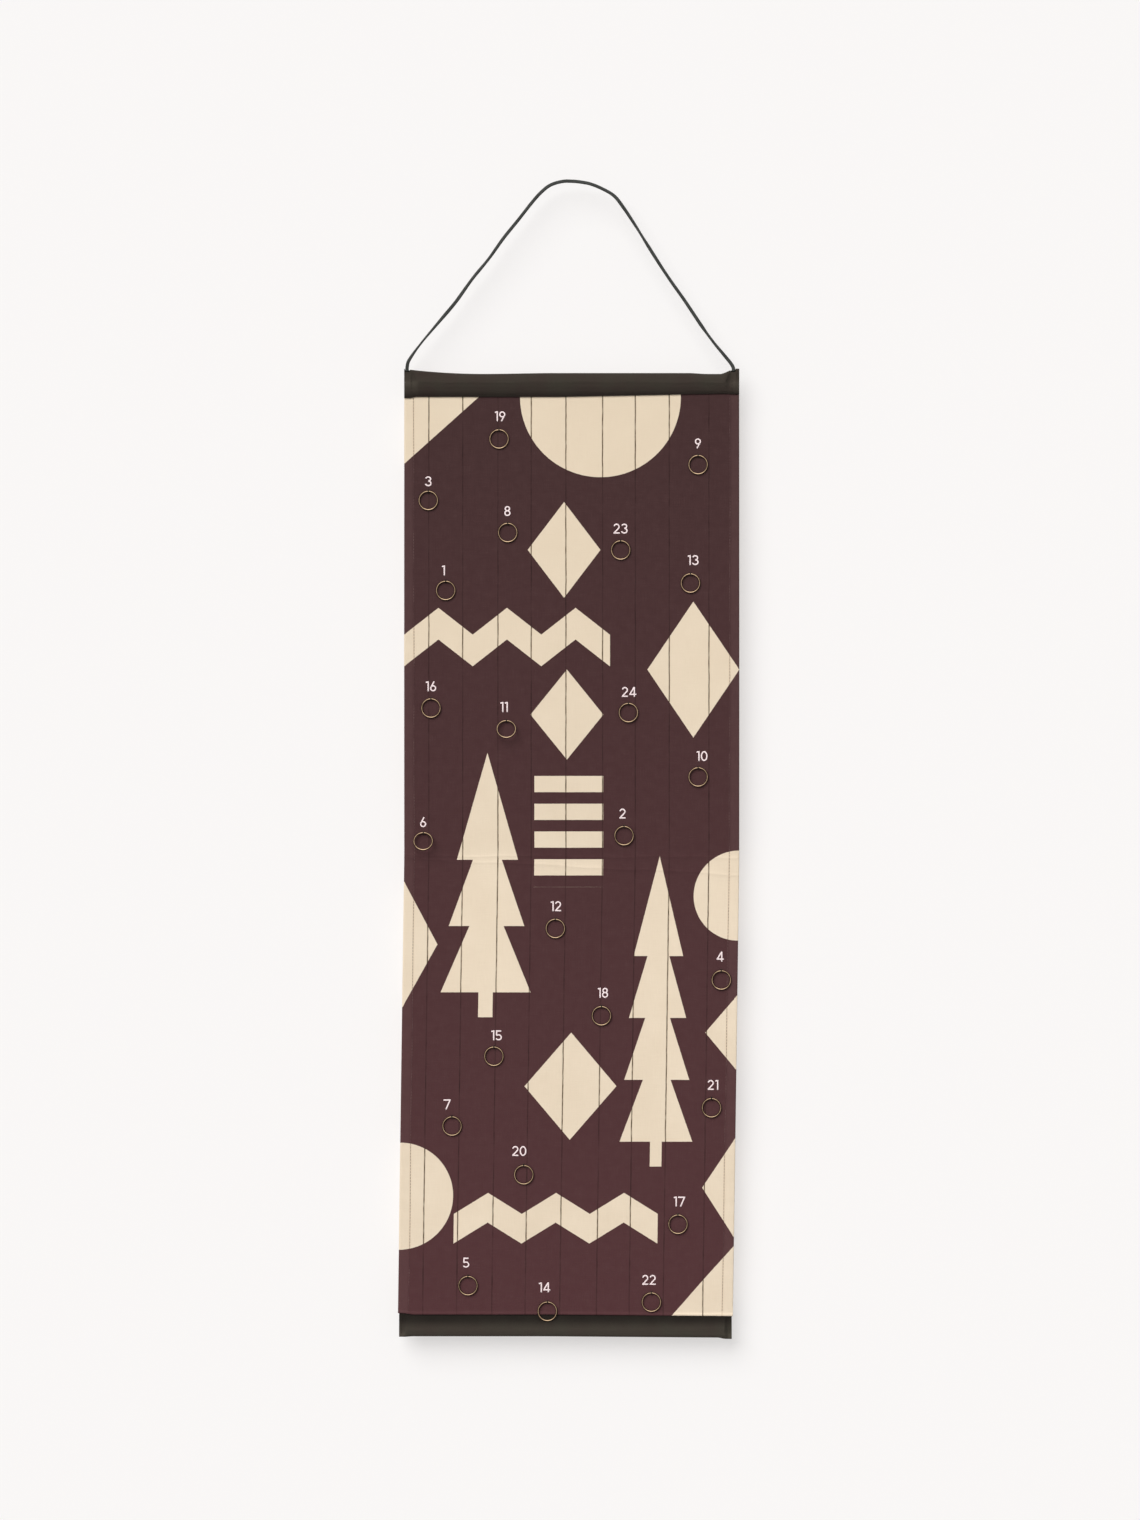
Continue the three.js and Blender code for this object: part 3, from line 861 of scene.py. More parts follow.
# %% Make the cloth
LEFT_FOOT_RISE = 1.6
LEFT_FOOT_ENDS = (4, 17)  # distances from the side between which the rise fades
FOOT_REACH = 40  # how far above the foot its rise and drop begin


def closing_faces(across, first):
    """Triangles that close a row of the cloth, between its front and its back, from left to right.

    across has the place across of each point in the row, and first is the number of the first one.
    """
    size = len(across)
    left = HEM_POINTS + FOLD_STEPS // 2
    right = size - BACK_COLUMNS - 1 - left
    front = list(range(left + 1, right))
    back = [k % size for k in range(left - 1, right - size, -1)]
    faces = [[left, front[0], back[0]], [right, front[-1], back[-1]]]
    while len(front) + len(back) > 2:
        if len(back) == 1 or (len(front) > 1 and across[front[1]] < across[back[1]]):
            faces.append([front[0], front[1], back[0]])
            front.pop(0)
        else:
            faces.append([front[0], back[1], back[0]])
            back.pop(0)
    return [[first + k for k in face] for face in faces]


def make_cloth():
    """Makes the cloth, and lists the place on the flat cloth of each of its points."""
    skin = Skins()
    flat = []
    rings = []
    for v in row_places():
        hemmed = HEM_START < v < CLOTH_DROP - SEAM_LAP - HEM_START
        place, depth, u = cloth_section(v, hemmed).T
        y = cloth_middle(place, v) + depth - relief(place, v)
        y = y - foot_roll(v) * (depth < 0)
        left = 1 - smoothstep(place + CLOTH_WIDTH / 2, *LEFT_FOOT_ENDS)
        near_foot = smoothstep(v, CLOTH_DROP - FOOT_REACH, CLOTH_DROP)
        z = CLOTH_TOP - v + (LEFT_FOOT_RISE * left - foot_drop(place)) * near_foot
        x = place + sway_at(v)
        rings.append(np.stack([x, y, z], 1))
        flat.append(np.stack([u, 0 * u + v], 1))
    skin.add(rings, capped=False)
    for row in (0, len(rings) - 1):
        skin.faces += closing_faces(rings[row][:, 0], row * len(rings[row]))
    cloth = skin.make("printed_cloth_panel", printed_canvas, canvas_reverse)
    return cloth, np.concatenate(flat)


cloth, flat_places = make_cloth()
print("cloth of", len(cloth.data.polygons), "faces")

# %% [markdown]
# The print reads its place on the flat cloth, so that place is kept as a UV map. A UV map belongs to the
# corners of faces, not to points, and that helps at a hem's inner edge: one point there is two places on
# the flat cloth, the end of the folded part and the part below it. The back isn't printed, so its faces
# between the hems get the bare finish.

# %% Mark the places on the cloth and bare its back
def mark_places(piece, name, places):
    """Gives each corner of a piece the place of its point, as a UV map."""
    mesh = piece.data
    corner_points = np.empty(len(mesh.loops), int)
    mesh.loops.foreach_get("vertex_index", corner_points)
    layer = mesh.uv_layers.new(name=name)
    layer.uv.foreach_set("vector", places[corner_points].astype(np.float32).ravel())


def bare_the_back(cloth, section):
    """Gives the faces between the hems on the back the bare finish, up to the hems' inner edges.

    section is the number of points in a row. A hem's inner edge belongs to two places on the flat cloth,
    the end of the folded part and the part below it, and the bare faces need the second.
    """
    mesh = cloth.data
    back_start = section - BACK_COLUMNS - 1
    inner_edge = (CLOTH_WIDTH / 2 - HEM_WIDTH) * MM
    places = mesh.uv_layers["flat_place"].uv
    for face in mesh.polygons:
        spots = [point % section for point in face.vertices]
        if not all(spot == 0 or spot >= back_start for spot in spots):
            continue
        face.material_index = 1
        for corner, spot in zip(face.loop_indices, spots):
            if spot in (0, back_start):
                side = -1 if spot == 0 else 1
                places[corner].vector = (side * inner_edge, places[corner].vector[1])


mark_places(cloth, "flat_place", flat_places * MM)
bare_the_back(cloth, len(flat_places) // len(row_places()))
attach(cloth, "panel")
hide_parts("printed_cloth")
print("bare faces:", sum(face.material_index for face in cloth.data.polygons))

# %% [markdown]
# ## Stitches
#
# A lockstitch shows as a row of short threads, each going down into the cloth at both ends. They are
# real threads here, a hair thicker than the grain of the cloth, because a bump can't catch light on its
# side or show in the outline of an edge. One function sews a row along any line on any surface.

# %% Sew rows of stitches
STITCH_LENGTH = 2.4
STITCH_GAP = 0.8
STITCH_RISE_SHARES = [-0.6, 0.35, 0.8, 0.8, 0.35, -0.6]
STITCH_SIDES = 5
LINE_STEP = 2.0  # between the points of a seam's line


def thread_finish(name, dull, bright, lightness):
    """Twisted cotton. lightness moves the share of it that is rubbed bright."""
    finish = Finish(name)
    place = finish.node("TexCoord", output="Object")
    fibres = finish.noise(place, 4200.0, detail=2.0)
    rubbed = finish.noise(place, 55.0, detail=2.0)
    tone = finish.mix(fibres * 0.8 + rubbed * 2.4 + (lightness - 1.1), linear(dull), linear(bright))
    return finish.surface(height=fibres, depth=0.05, base_color=tone, roughness=0.8, specular_ior_level=0.2)


hem_thread = thread_finish("hem_thread", dull=(82, 58, 58), bright=(142, 118, 114), lightness=-0.3)
dark_thread = thread_finish("dark_thread", dull=(30, 26, 23), bright=(56, 49, 43), lightness=0)


def sew(skins, line, depth_of, radius, outward):
    """Adds a row of stitches along a line of (x, z) points. depth_of gives the surface's depth there."""
    line = np.asarray(line, float)
    steps = lengths_along(line)
    count = int(steps[-1] / (STITCH_LENGTH + STITCH_GAP))
    shares = np.linspace(0, STITCH_LENGTH, len(STITCH_RISE_SHARES))
    for start in np.linspace(0, steps[-1] - STITCH_LENGTH, count):
        x = np.interp(start + shares, steps, line[:, 0])
        z = np.interp(start + shares, steps, line[:, 1])
        y = depth_of(x, z) + outward * radius * np.array(STITCH_RISE_SHARES)
        skins.add(tube(np.stack([x, y, z], 1), radius, sides=STITCH_SIDES, side_axis=(0, 1, 0)))


print("threads take", len(hem_thread.node_tree.nodes), "nodes each")

# %% [markdown]
# A hem's seam shows on both faces of the cloth. It wanders a little, as a seam does that is sewn by eye,
# and drifts in towards the foot.

# %% Sew the hems
HEM_THREAD_RADIUS = 0.2
HEM_SEAM_WANDER = 0.25
HEM_SEAM_WANDER_LENGTH = 31
HEM_SEAM_END_GAP = 1


def hem_line(side, foot):
    """The line of a hem's seam, from the top casing down to a place on the cloth."""
    v = np.arange(HEM_SEAM_END_GAP, foot, LINE_STEP)
    inset = HEM_SEAM_INSET + HEM_SEAM_DRIFT * v / CLOTH_DROP
    inset = inset + HEM_SEAM_WANDER * np.sin(v / HEM_SEAM_WANDER_LENGTH + side)
    return np.stack([side * (CLOTH_WIDTH / 2 - inset) + sway_at(v), CLOTH_TOP - v], 1)


def hem_stitches(side):
    """Both faces of one hem's seam. On the back it ends at the tape, on the front at the roll."""
    skins = Skins()
    sew(skins, hem_line(side, CLOTH_DROP - FOOT_ROLL_HEIGHT), on_cloth, HEM_THREAD_RADIUS, -1)
    back_line = hem_line(side, CLOTH_DROP - SEAM_LAP - HEM_SEAM_END_GAP)
    sew(skins, back_line, lambda x, z: on_cloth(x, z) + 2 * CLOTH_THICKNESS, HEM_THREAD_RADIUS, 1)
    return skins


for side, name in ((-1, "left_hem_stitches"), (1, "right_hem_stitches")):
    seam = hem_stitches(side).make(name, hem_thread)
    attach(seam, "panel")
    print(name, "of", len(seam.data.polygons), "faces")

# %% [markdown]
# ## The numbers
#
# The numbers are printed in a thick pale ink that stands on the cloth. Their digits are built of straight
# strokes and arcs of one width, as a draughtsman's stencil is, and a stroke is a flat ribbon with a soft
# crown that follows the lie of the cloth. Text from a font would float off a cloth that isn't flat.

# %% Draw the digits as strokes
DIGIT_HEIGHT = 10.5
STROKE = 1.42
DIGIT_GAP = 1.2
INK_RISE = 0.1
STROKE_PROFILE = [(-1, -0.5), (-0.9, 0.7), (-0.45, 1), (0.45, 1), (0.9, 0.7), (1, -0.5)]  # side, height


ARC_STEP = 12  # degrees


def arc(x, z, radius, start, end, squeeze=1.0):
    """Points on an arc, angles in degrees from the right, against the clock."""
    turn = np.radians(np.linspace(start, end, max(4, int(abs(end - start) / ARC_STEP))))
    return [(x + radius * squeeze * math.cos(a), z + radius * math.sin(a)) for a in turn]


HIGH = DIGIT_HEIGHT - STROKE / 2
LOW = STROKE / 2
BOWL = 2.55  # radius of the round of a 2, 5, 6 and 9
UPPER_BOWL = 2.1  # of a 3 and an 8
LOWER_BOWL = 2.4
NINE = [arc(0, HIGH - BOWL, BOWL, 90, 450), [(2.2, 6.1), (-1.0, 0)]]

DIGITS = {
    "0": [arc(0, DIGIT_HEIGHT / 2, HIGH - DIGIT_HEIGHT / 2, 90, 450, 0.62)],
    "1": [[(0.8, 0), (0.8, DIGIT_HEIGHT)], [(0.8, HIGH + 0.1), (-1.7, HIGH - 0.5)]],
    "2": [arc(0, HIGH - BOWL, BOWL, 170, -32) + [(-2.5, LOW + 0.1)], [(-3.2, LOW), (3.3, LOW)]],
    "3": [
        arc(0, HIGH - UPPER_BOWL, UPPER_BOWL, 165, -90, 1.2),
        arc(0, LOW + LOWER_BOWL, LOWER_BOWL, 90, -165, 1.2),
    ],
    "4": [[(1.2, HIGH + 0.4), (-3.4, 2.7)], [(-3.9, 2.7), (3.5, 2.7)], [(1.35, 0), (1.35, DIGIT_HEIGHT)]],
    "5": [
        [(-1.9, HIGH), (2.9, HIGH)],
        [(-1.75, DIGIT_HEIGHT), (-2.2, 5.2)],
        arc(0, LOW + BOWL, BOWL, 140, -150, 1.15),
    ],
    "6": [[(-x, DIGIT_HEIGHT - z) for x, z in stroke] for stroke in NINE],
    "7": [[(-3.7, HIGH), (3.8, HIGH)], [(3.1, HIGH), (-1.2, 0)]],
    "8": [
        arc(0, HIGH - UPPER_BOWL, UPPER_BOWL, -90, 270, 1.05),
        arc(0, LOW + LOWER_BOWL, LOWER_BOWL, 90, 450, 1.05),
    ],
    "9": NINE,
}


def subdivided(stroke):
    """A stroke with points at least every millimetre, so that it follows the cloth."""
    points = [stroke[0]]
    for start, end in zip(stroke, stroke[1:]):
        steps = max(1, math.ceil(math.dist(start, end)))
        for step in range(1, steps + 1):
            share = step / steps
            points.append(tuple(a + (b - a) * share for a, b in zip(start, end)))
    return points


def ribbon(stroke):
    """A stroke's line, the way from it to its left edge at each point, and whether it is closed."""
    line = np.array(stroke, float)
    along = unit(np.gradient(line, axis=0))
    closed = np.allclose(line[0], line[-1])
    if closed:
        along[0] = along[-1] = unit(along[0] + along[-1])
    side = np.stack([-along[:, 1], along[:, 0]], 1) * STROKE / 2
    return line, side, closed


def digit_extent(digit):
    edges = [line + sign * side for line, side, _ in map(ribbon, DIGITS[digit]) for sign in (-1, 1)]
    x = np.concatenate(edges)[:, 0]
    return x.min(), x.max()


def number_skins(text, middle_x, middle_z):
    extents = [digit_extent(digit) for digit in text]
    width = sum(right - left for left, right in extents) + DIGIT_GAP * (len(text) - 1)
    skins = Skins()
    pen = middle_x - width / 2
    for digit, (left, right) in zip(text, extents):
        for stroke in DIGITS[digit]:
            line, side, closed = ribbon(subdivided(stroke))
            rings = []
            for share, rise in STROKE_PROFILE:
                flat = line + share * side + (pen - left, middle_z - DIGIT_HEIGHT / 2)
                depth = on_cloth(flat[:, 0], flat[:, 1]) - INK_RISE * rise
                rings.append(np.stack([flat[:, 0], depth, flat[:, 1]], 1))
            rings = np.stack(rings, 1)
            skins.add(rings[:-1] if closed else rings, joined=closed)
        pen += right - left + DIGIT_GAP
    return skins


print("the digits take", sum(len(strokes) for strokes in DIGITS.values()), "strokes")

# %% [markdown]
# Each number stands above its ring, but the printer and the sewer didn't agree to the millimetre: the
# offsets of the numbers from their rings differ by a few millimetres, and that unevenness is part of
# the look. They are given for each day from the ring's middle.

# %% Print the numbers on the cloth
NUMBER_OFFSETS = {
    1: (-2.4, 20.9),
    2: (-1.5, 23.0),
    3: (0, 20.1),
    4: (-1.0, 24.2),
    5: (-1.9, 23.8),
    6: (-0.2, 20.7),
    7: (-5.1, 22.4),
    8: (-0.3, 22.5),
    9: (-0.1, 22.3),
    10: (4.1, 21.7),
    11: (-2.4, 24.0),
    12: (0.6, 23.1),
    13: (2.9, 24.0),
    14: (-2.9, 24.7),
    15: (2.8, 21.6),
    16: (0, 22.6),
    17: (1.6, 23.4),
    18: (1.6, 23.8),
    19: (1.1, 23.8),
    20: (-4.6, 24.6),
    21: (1.7, 23.6),
    22: (-2.4, 23.0),
    23: (0, 22.4),
    24: (0.8, 21.6),
}
RING_DIAMETER = 21
WIRE_DIAMETER = 1.8
RING_RADIUS = (RING_DIAMETER - WIRE_DIAMETER) / 2
WIRE_RADIUS = WIRE_DIAMETER / 2
INK_DULL = (240, 219, 219)
INK_BRIGHT = (255, 240, 240)


def ink_finish():
    finish = Finish("pale_ink")
    place = finish.node("TexCoord", output="Object")
    threads = finish.noise(place, 1500.0, detail=2.0)
    tone_share = finish.noise(place, 300.0, detail=2.0)
    tone = finish.mix(threads * 0.5 + tone_share * 0.5, linear(INK_DULL), linear(INK_BRIGHT))
    return finish.surface(height=threads, depth=0.08, base_color=tone, roughness=0.7)


pale_ink = ink_finish()
for day, seat in ring_seats.items():
    across, up = NUMBER_OFFSETS[day]
    skins = number_skins(str(day), seat[0] + across, seat[2] - RING_RADIUS + up)
    number = skins.make(f"number_{day:02d}", pale_ink)
    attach(number, "panel")
print("numbers printed:", len(NUMBER_OFFSETS))

# %% [markdown]
# ## The casings
#
# At the top and the foot a strip of dark twill tape is folded round a wooden rod, and its two edges are
# sewn together: at the top with the cloth between them, at the foot behind the cloth. At their ends the
# casings are sewn flat, and the top corners are drawn up by the lace. A section across a casing is a
# hairpin: down one side, round the rod, and up the other, with the thickness of the tape between its
# outer and its inner line. The sections follow the same sums as the frame's casings, only closer
# together, with the small unevenness that sewing leaves: the tape stands off the rod in places, its fold
# has some slack, and the lower edge of the top casing climbs by a few millimetres to the right.

# %% Write the section of a casing
TAPE_THICKNESS = 1
ROD_DIAMETER = 10
ROD_PLAY = 0.5
CHANNEL_RADIUS = ROD_DIAMETER / 2 + ROD_PLAY
CASING_RADIUS = CHANNEL_RADIUS + TAPE_THICKNESS
WALL_FLAT_DEPTH = 0.2  # the round is cut flat by this much at its back, where it rests on the wall
WALL_EDGE_SHARE = 1.25  # the round goes on for at least this share of the flat's half angle
FIT_GAP = 0.3  # clearance between cloth, tape and lace
TAPE_SLOT = 0.3  # between the layers of the bottom tape at its seam
OUTER_STEPS = 34
INNER_STEPS = 22
OUTER_COUNT = OUTER_STEPS + 7  # points of a section on its outer line
SLACK_POINTS = slice(4, OUTER_STEPS + 3)  # those of them that the slack moves
END_ZONE = 24  # near its ends a casing changes fast, so its sections are closer together there
END_ZONE_STEP = 1.0
SECTION_STEP = 3.0
SLACK_REACH = 10


def tangent(lap_y, lap_height, radius, side):
    """Angle at which a straight side, drawn from the lap, meets the round of the fold."""
    reach = math.hypot(lap_y, lap_height)
    return math.atan2(lap_height, lap_y) + side * math.acos(radius / reach)


def tape_slack(x):
    """How far the tape stands off its round at x, a short wave and a long one."""
    return 0.12 * math.sin(x / 9.1 + 0.6 * math.sin(x / 23)) + 0.1 * math.sin(x / 37 + 1)


@dataclass
class Casing:
    """A strip of tape, folded up (side 1) or down (side -1) over a rod.

    Its two edges are sewn together over the lap, which starts next to the fold and ends at the edges.
    lap_y is the depth of its middle, and lap_gap half the gap between its layers. Each end is sewn flat
    over end_seam, with end_radius inside, and then opens over end_taper.
    fold_rise and front_drop are functions of x and of the distance from the nearer end: how much further
    from the seam the fold stands, and how much lower the front edge hangs.
    """

    rod: str
    side: int
    length: float
    centre_x: float
    lap_start: float
    lap_end: float
    lap_y: float
    lap_gap: float
    end_radius: float
    end_seam: float
    end_taper: float
    fold_rise: Callable
    front_drop: Callable

    def __post_init__(self):
        rod_low, rod_high = box_mm(self.rod)
        self.rod_z = (rod_low[2] + rod_high[2]) / 2
        self.fold_z = self.rod_z + self.side * CASING_RADIUS

    def outline(self, radius, centre_z, fold_z, front_drop):
        """The hairpin of this inner radius, as points (y, z): its outer line, then its inner line back."""
        lap_start = (self.lap_start - centre_z) * self.side
        lap_end = (self.lap_end - centre_z) * self.side
        outer_radius = radius + TAPE_THICKNESS
        rise = (fold_z - centre_z) * self.side - outer_radius
        wall = math.acos(1 - WALL_FLAT_DEPTH / outer_radius)

        def curve(r, start, end, steps):
            turns = np.linspace(start, end, steps + 1)
            high = r + rise * ((turns > 0) & (turns < math.pi))
            return [(r * math.cos(a), h * math.sin(a)) for a, h in zip(turns, high)]

        def side_of(gap, r):
            back, front = self.lap_y + gap, self.lap_y - gap
            back_turn = tangent(back, lap_start, r, 1)
            front_turn = 2 * math.pi + tangent(front, lap_start, r, -1)
            return back, front, back_turn, front_turn

        back, front, back_turn, front_turn = side_of(self.lap_gap + TAPE_THICKNESS, outer_radius)
        inner_back, inner_front, inner_start, inner_end = side_of(self.lap_gap, radius)
        flat_start = min(back_turn, -WALL_EDGE_SHARE * wall)
        points = [
            (back, lap_end),
            (back, lap_start),
            *curve(outer_radius, flat_start, -wall, 1),
            *curve(outer_radius, wall, front_turn, OUTER_STEPS),
            (front, lap_start),
            (front, lap_end - front_drop),
            (inner_front, lap_end - front_drop),
            (inner_front, lap_start),
            *curve(radius, inner_end, inner_start, INNER_STEPS),
            (inner_back, lap_start),
            (inner_back, lap_end),
        ]
        return [(y, centre_z + self.side * height) for y, height in points]

    def section(self, x):
        """The outline at x from the middle: sewn flat at the ends, then opening round the rod."""
        distance = self.length / 2 - abs(x)
        opened = smoothstep(distance, self.end_seam, self.end_seam + self.end_taper)
        radius = self.end_radius + (CHANNEL_RADIUS - self.end_radius) * opened
        fold_z = self.fold_z + self.side * self.fold_rise(x, distance)
        flat_centre = fold_z - self.side * (self.end_radius + TAPE_THICKNESS)
        centre_z = flat_centre + (self.rod_z - flat_centre) * opened
        return self.outline(radius, centre_z, fold_z, self.front_drop(x, distance))

    def rings(self):
        """Sections along the casing, from its left end to its right one."""
        half = self.length / 2
        near = np.arange(0, END_ZONE, END_ZONE_STEP)
        far = np.arange(END_ZONE, half, SECTION_STEP)
        marks = half - np.unique([*near, *far, half])
        return np.array([self.ring(x) for x in (*-marks, *marks[-2::-1])])

    def ring(self, x):
        """The section at x in space, with the slack of its front."""
        y, z = np.array(self.section(x)).T
        distance = self.length / 2 - abs(x)
        slack = tape_slack(x) * smoothstep(distance, self.end_seam, self.end_seam + SLACK_REACH)
        y[SLACK_POINTS] += slack * np.minimum(0, y[SLACK_POINTS]) / CASING_RADIUS
        return np.column_stack([np.full(len(y), self.centre_x + x), y, z])

    def depth(self, x, z, face):
        """Depth of the tape's outer face, the front (-1) or the back (1), behind points (x, z)."""
        depths = []
        for at_x, at_z in zip(np.atleast_1d(x), np.atleast_1d(z)):
            _, ys, zs = self.ring(at_x - self.centre_x)[:OUTER_COUNT].T
            crown = np.argmax(zs * self.side)
            way = slice(crown, None) if face < 0 else slice(crown, None, -1)
            heights = zs[way] * -self.side
            depths.append(np.interp(at_z * -self.side, heights, ys[way]))
        return np.array(depths)


print("a casing is", 2 * CASING_RADIUS, "mm across over its rod")

# %% [markdown]
# The top casing is as wide as the cloth. Its corners stand 5 mm above its middle, because the lace pulls
# there: the left one in a long slope, the right one in a short step. Its front edge climbs a little from
# the middle to the right. The bottom casing is 1.2 mm shorter at each end, and its right corner hangs
# lower.

# %% Give both casings their sizes
TOP_SEAM_LAP = 8
LEFT_CORNER_RISE = 5.2
LEFT_CORNER_REACH = 85
RIGHT_CORNER_RISE = 5.6
RIGHT_CORNER_ENDS = (3, 20.5)
TOP_SLACK = 0.95
TOP_SLACK_STARTS = (-95, -15)
TOP_SLACK_ENDS = (122, 142)
SEAM_CLIMB = 3.4
SEAM_CLIMB_START = -12
SEAM_CLIMB_END = 153
LEFT_EDGE_DROP = 1.3
RIGHT_EDGE_DROP = 0.6
EDGE_DROP_ENDS = (5, 13)
FOOT_CORNER_RISE = 1.3
FOOT_CORNER_ENDS = (6, 15)
FOOT_LEFT_SHARE = 0.4  # how much of this rise the left corner has


def top_fold_rise(x, distance):
    slack = TOP_SLACK * smoothstep(x, *TOP_SLACK_STARTS) * (1 - smoothstep(x, *TOP_SLACK_ENDS))
    if x < 0:
        return slack + LEFT_CORNER_RISE * max(0, 1 - distance / LEFT_CORNER_REACH) ** 2
    return slack + RIGHT_CORNER_RISE * (1 - smoothstep(distance, *RIGHT_CORNER_ENDS))


def top_front_drop(x, distance):
    drop = np.where(x < 0, LEFT_EDGE_DROP, RIGHT_EDGE_DROP)
    climb = SEAM_CLIMB * np.clip((x - SEAM_CLIMB_START) / (SEAM_CLIMB_END - SEAM_CLIMB_START), 0, 1)
    return drop * (1 - smoothstep(distance, *EDGE_DROP_ENDS)) - climb


def foot_fold_rise(x, distance):
    corner = FOOT_CORNER_RISE * (1 - smoothstep(distance, *FOOT_CORNER_ENDS))
    return foot_drop(x) + corner * (FOOT_LEFT_SHARE if x < 0 else 1)


def level_front(x, distance):
    return 0.0


top_strip = Casing(
    rod="top_rod",
    side=1,
    length=CLOTH_WIDTH,
    centre_x=0.0,
    lap_start=CLOTH_TOP + TOP_SEAM_LAP,
    lap_end=CLOTH_TOP,
    lap_y=0.0,
    lap_gap=CLOTH_THICKNESS / 2 + FIT_GAP,
    end_radius=LACE_THICKNESS / 2 + FIT_GAP,
    end_seam=9,
    end_taper=6,
    fold_rise=top_fold_rise,
    front_drop=top_front_drop,
)
bottom_strip = Casing(
    rod="bottom_rod",
    side=-1,
    length=foot_high[0] - foot_low[0],
    centre_x=FOOT_SWAY,
    lap_start=CLOTH_FOOT,
    lap_end=CLOTH_FOOT + SEAM_LAP,
    lap_y=CLOTH_THICKNESS / 2 + FIT_GAP + TAPE_THICKNESS + TAPE_SLOT / 2,
    lap_gap=TAPE_SLOT / 2,
    end_radius=FIT_GAP,
    end_seam=4,
    end_taper=4,
    fold_rise=foot_fold_rise,
    front_drop=level_front,
)
print("casings", top_strip.length, "and", round(bottom_strip.length, 1), "mm long")

# %% [markdown]
# The lace goes into the top casing at two small mouths, which are open to the front so that the panel can
# swing. A mouth has a round foot under the lace and straight sides. Modelled into the sections it would
# break their even rows, so it is cut from the finished tape with a boolean, as the frame's is.

# %% Shape the mouths of the lace
LACE_EXITS = (LACE_ROUTE[0][0], LACE_ROUTE[-1][0])
swing = next(joint for joint in frame["joints"] if joint["name"] == "panel_swing")
HINGE_Z = round(swing["pos_m"][2] / MM, 2)
MOUTH_OUTER_GAP = 0.5
MOUTH_INNER_GAP = 1.2
MOUTH_FOOT_STEPS = 6
LACE_END_DEPTH = 0.8


def mouth_cutter(exit_x):
    """The block that is cut from the casing where the lace goes in."""
    radius = math.hypot(LACE_END_DEPTH, LACE_THICKNESS / 2) + FIT_GAP
    front = -top_strip.end_radius - 2 * TAPE_THICKNESS
    top = top_high[2] + 3 * TAPE_THICKNESS
    turns = np.linspace(-math.pi / 2, 0, MOUTH_FOOT_STEPS + 1)
    profile = [(front, top), (front, HINGE_Z - radius)]
    profile += [(radius * math.cos(a), HINGE_Z + radius * math.sin(a)) for a in turns]
    profile += [(radius, top)]
    inward = -math.copysign(1, exit_x)
    outer_edge = exit_x - inward * (LACE_WIDTH / 2 + MOUTH_OUTER_GAP)
    inner_edge = exit_x + inward * (LACE_WIDTH / 2 + MOUTH_INNER_GAP)
    edges = sorted((outer_edge, inner_edge))
    skins = Skins()
    skins.add([[(x, y, z) for y, z in profile] for x in edges])
    return skins.make("mouth_cutter")


def cut(piece, cutters):
    """Cuts the cutters from a piece, applies the cuts and deletes the cutters."""
    for cutter in cutters:
        change = piece.modifiers.new("mouth", "BOOLEAN")
        change.operation = "DIFFERENCE"
        change.object = cutter
    shape = piece.evaluated_get(bpy.context.evaluated_depsgraph_get())
    mesh = bpy.data.meshes.new_from_object(shape)
    piece.modifiers.clear()
    piece.data = mesh
    mesh.name = piece.name
    for cutter in cutters:
        bpy.data.objects.remove(cutter)


print("mouths at", LACE_EXITS, "round a hinge at", HINGE_Z)

# %% [markdown]
# The tape is a cotton twill in a brown that is almost black. Its diagonal ribs are less than a
# millimetre apart, so they are bump, while the colour only changes slowly, as washed cotton does. Along
# the seam the tape is painted darker, as painted shade where the cloth beside it would keep the light off,
# and that painted shade fades where the tape stands out over the rod. On the top casing the round is also
# painted lighter below its middle and darker above it, as painted light and shade. Each casing measures
# this from the height of its own seam.

# %% Finish the tape
RIB_PITCH = 0.85
TAPE_FADED = (78, 69, 62)
TAPE_WASHED = (73, 69, 60)
# Painted shade along the seams: the colour the tape is given where the cloth beside it would shade it.
TOP_PAINTED_SHADE = (32, 22, 20)
BOTTOM_PAINTED_SHADE = (27, 23, 19)
# Share of the tape's own colour at each distance from the seam, in mm; the rest is painted shade. On the top
# casing the round is also painted lighter below its middle and darker above it.
TOP_SEAM_SHADING = [(0, 0.3), (5, 0.42), (9, 0.46), (12, 0.68), (15, 0.76), (18, 0.5), (21, 0.42), (24, 0.34)]
BOTTOM_SEAM_SHADING = [(0, 0.4), (9, 0.02), (12, 0.02), (15, 0.13), (18, 0.32), (21, 0.47), (25, 0.62), (28, 0.9)]


def tape_finish(name, strip, lightness, shade_colour):
    """lightness is the share of the tape's own colour, against painted shade, at each distance from its
    seam, in millimetres.
    """
    finish = Finish(name)
    place = finish.node("TexCoord", output="Object")
    x, y, z = finish.split(place)
    along = (x + (z - y) * 0.8) * (2 * math.pi / (RIB_PITCH * MM))
    threads = finish.noise(finish.join(x, y * 3.0, z * 3.0), 900.0, detail=2.0)
    ribs = wave(along + threads * 3.0) * 0.5 + 0.5
    clouds = finish.noise(place, 38.0, detail=3.0)
    fuzz = finish.noise(place, 1700.0, detail=2.0)
    # Painted shade, and on the top casing painted light, by the distance from the seam.
    tone_share = finish.graded(abs(z * (1 / MM) - strip.lap_end), lightness)
    colour = finish.mix(
        tone_share + (clouds - 0.5) * 0.3 + (fuzz - 0.5) * 0.3,
        linear(shade_colour),
        finish.mix(clouds * 3 - 1, linear(TAPE_FADED), linear(TAPE_WASHED)),
    )
    return finish.surface(
        height=ribs * 0.7 + threads * 0.6,
        depth=0.12,
        base_color=colour,
        roughness=fuzz * 0.1 + 0.85,
        specular_ior_level=0.3,
    )


top_twill = tape_finish("top_twill", top_strip, TOP_SEAM_SHADING, TOP_PAINTED_SHADE)
bottom_twill = tape_finish("bottom_twill", bottom_strip, BOTTOM_SEAM_SHADING, BOTTOM_PAINTED_SHADE)
print("the tape takes", len(top_twill.node_tree.nodes), "nodes")
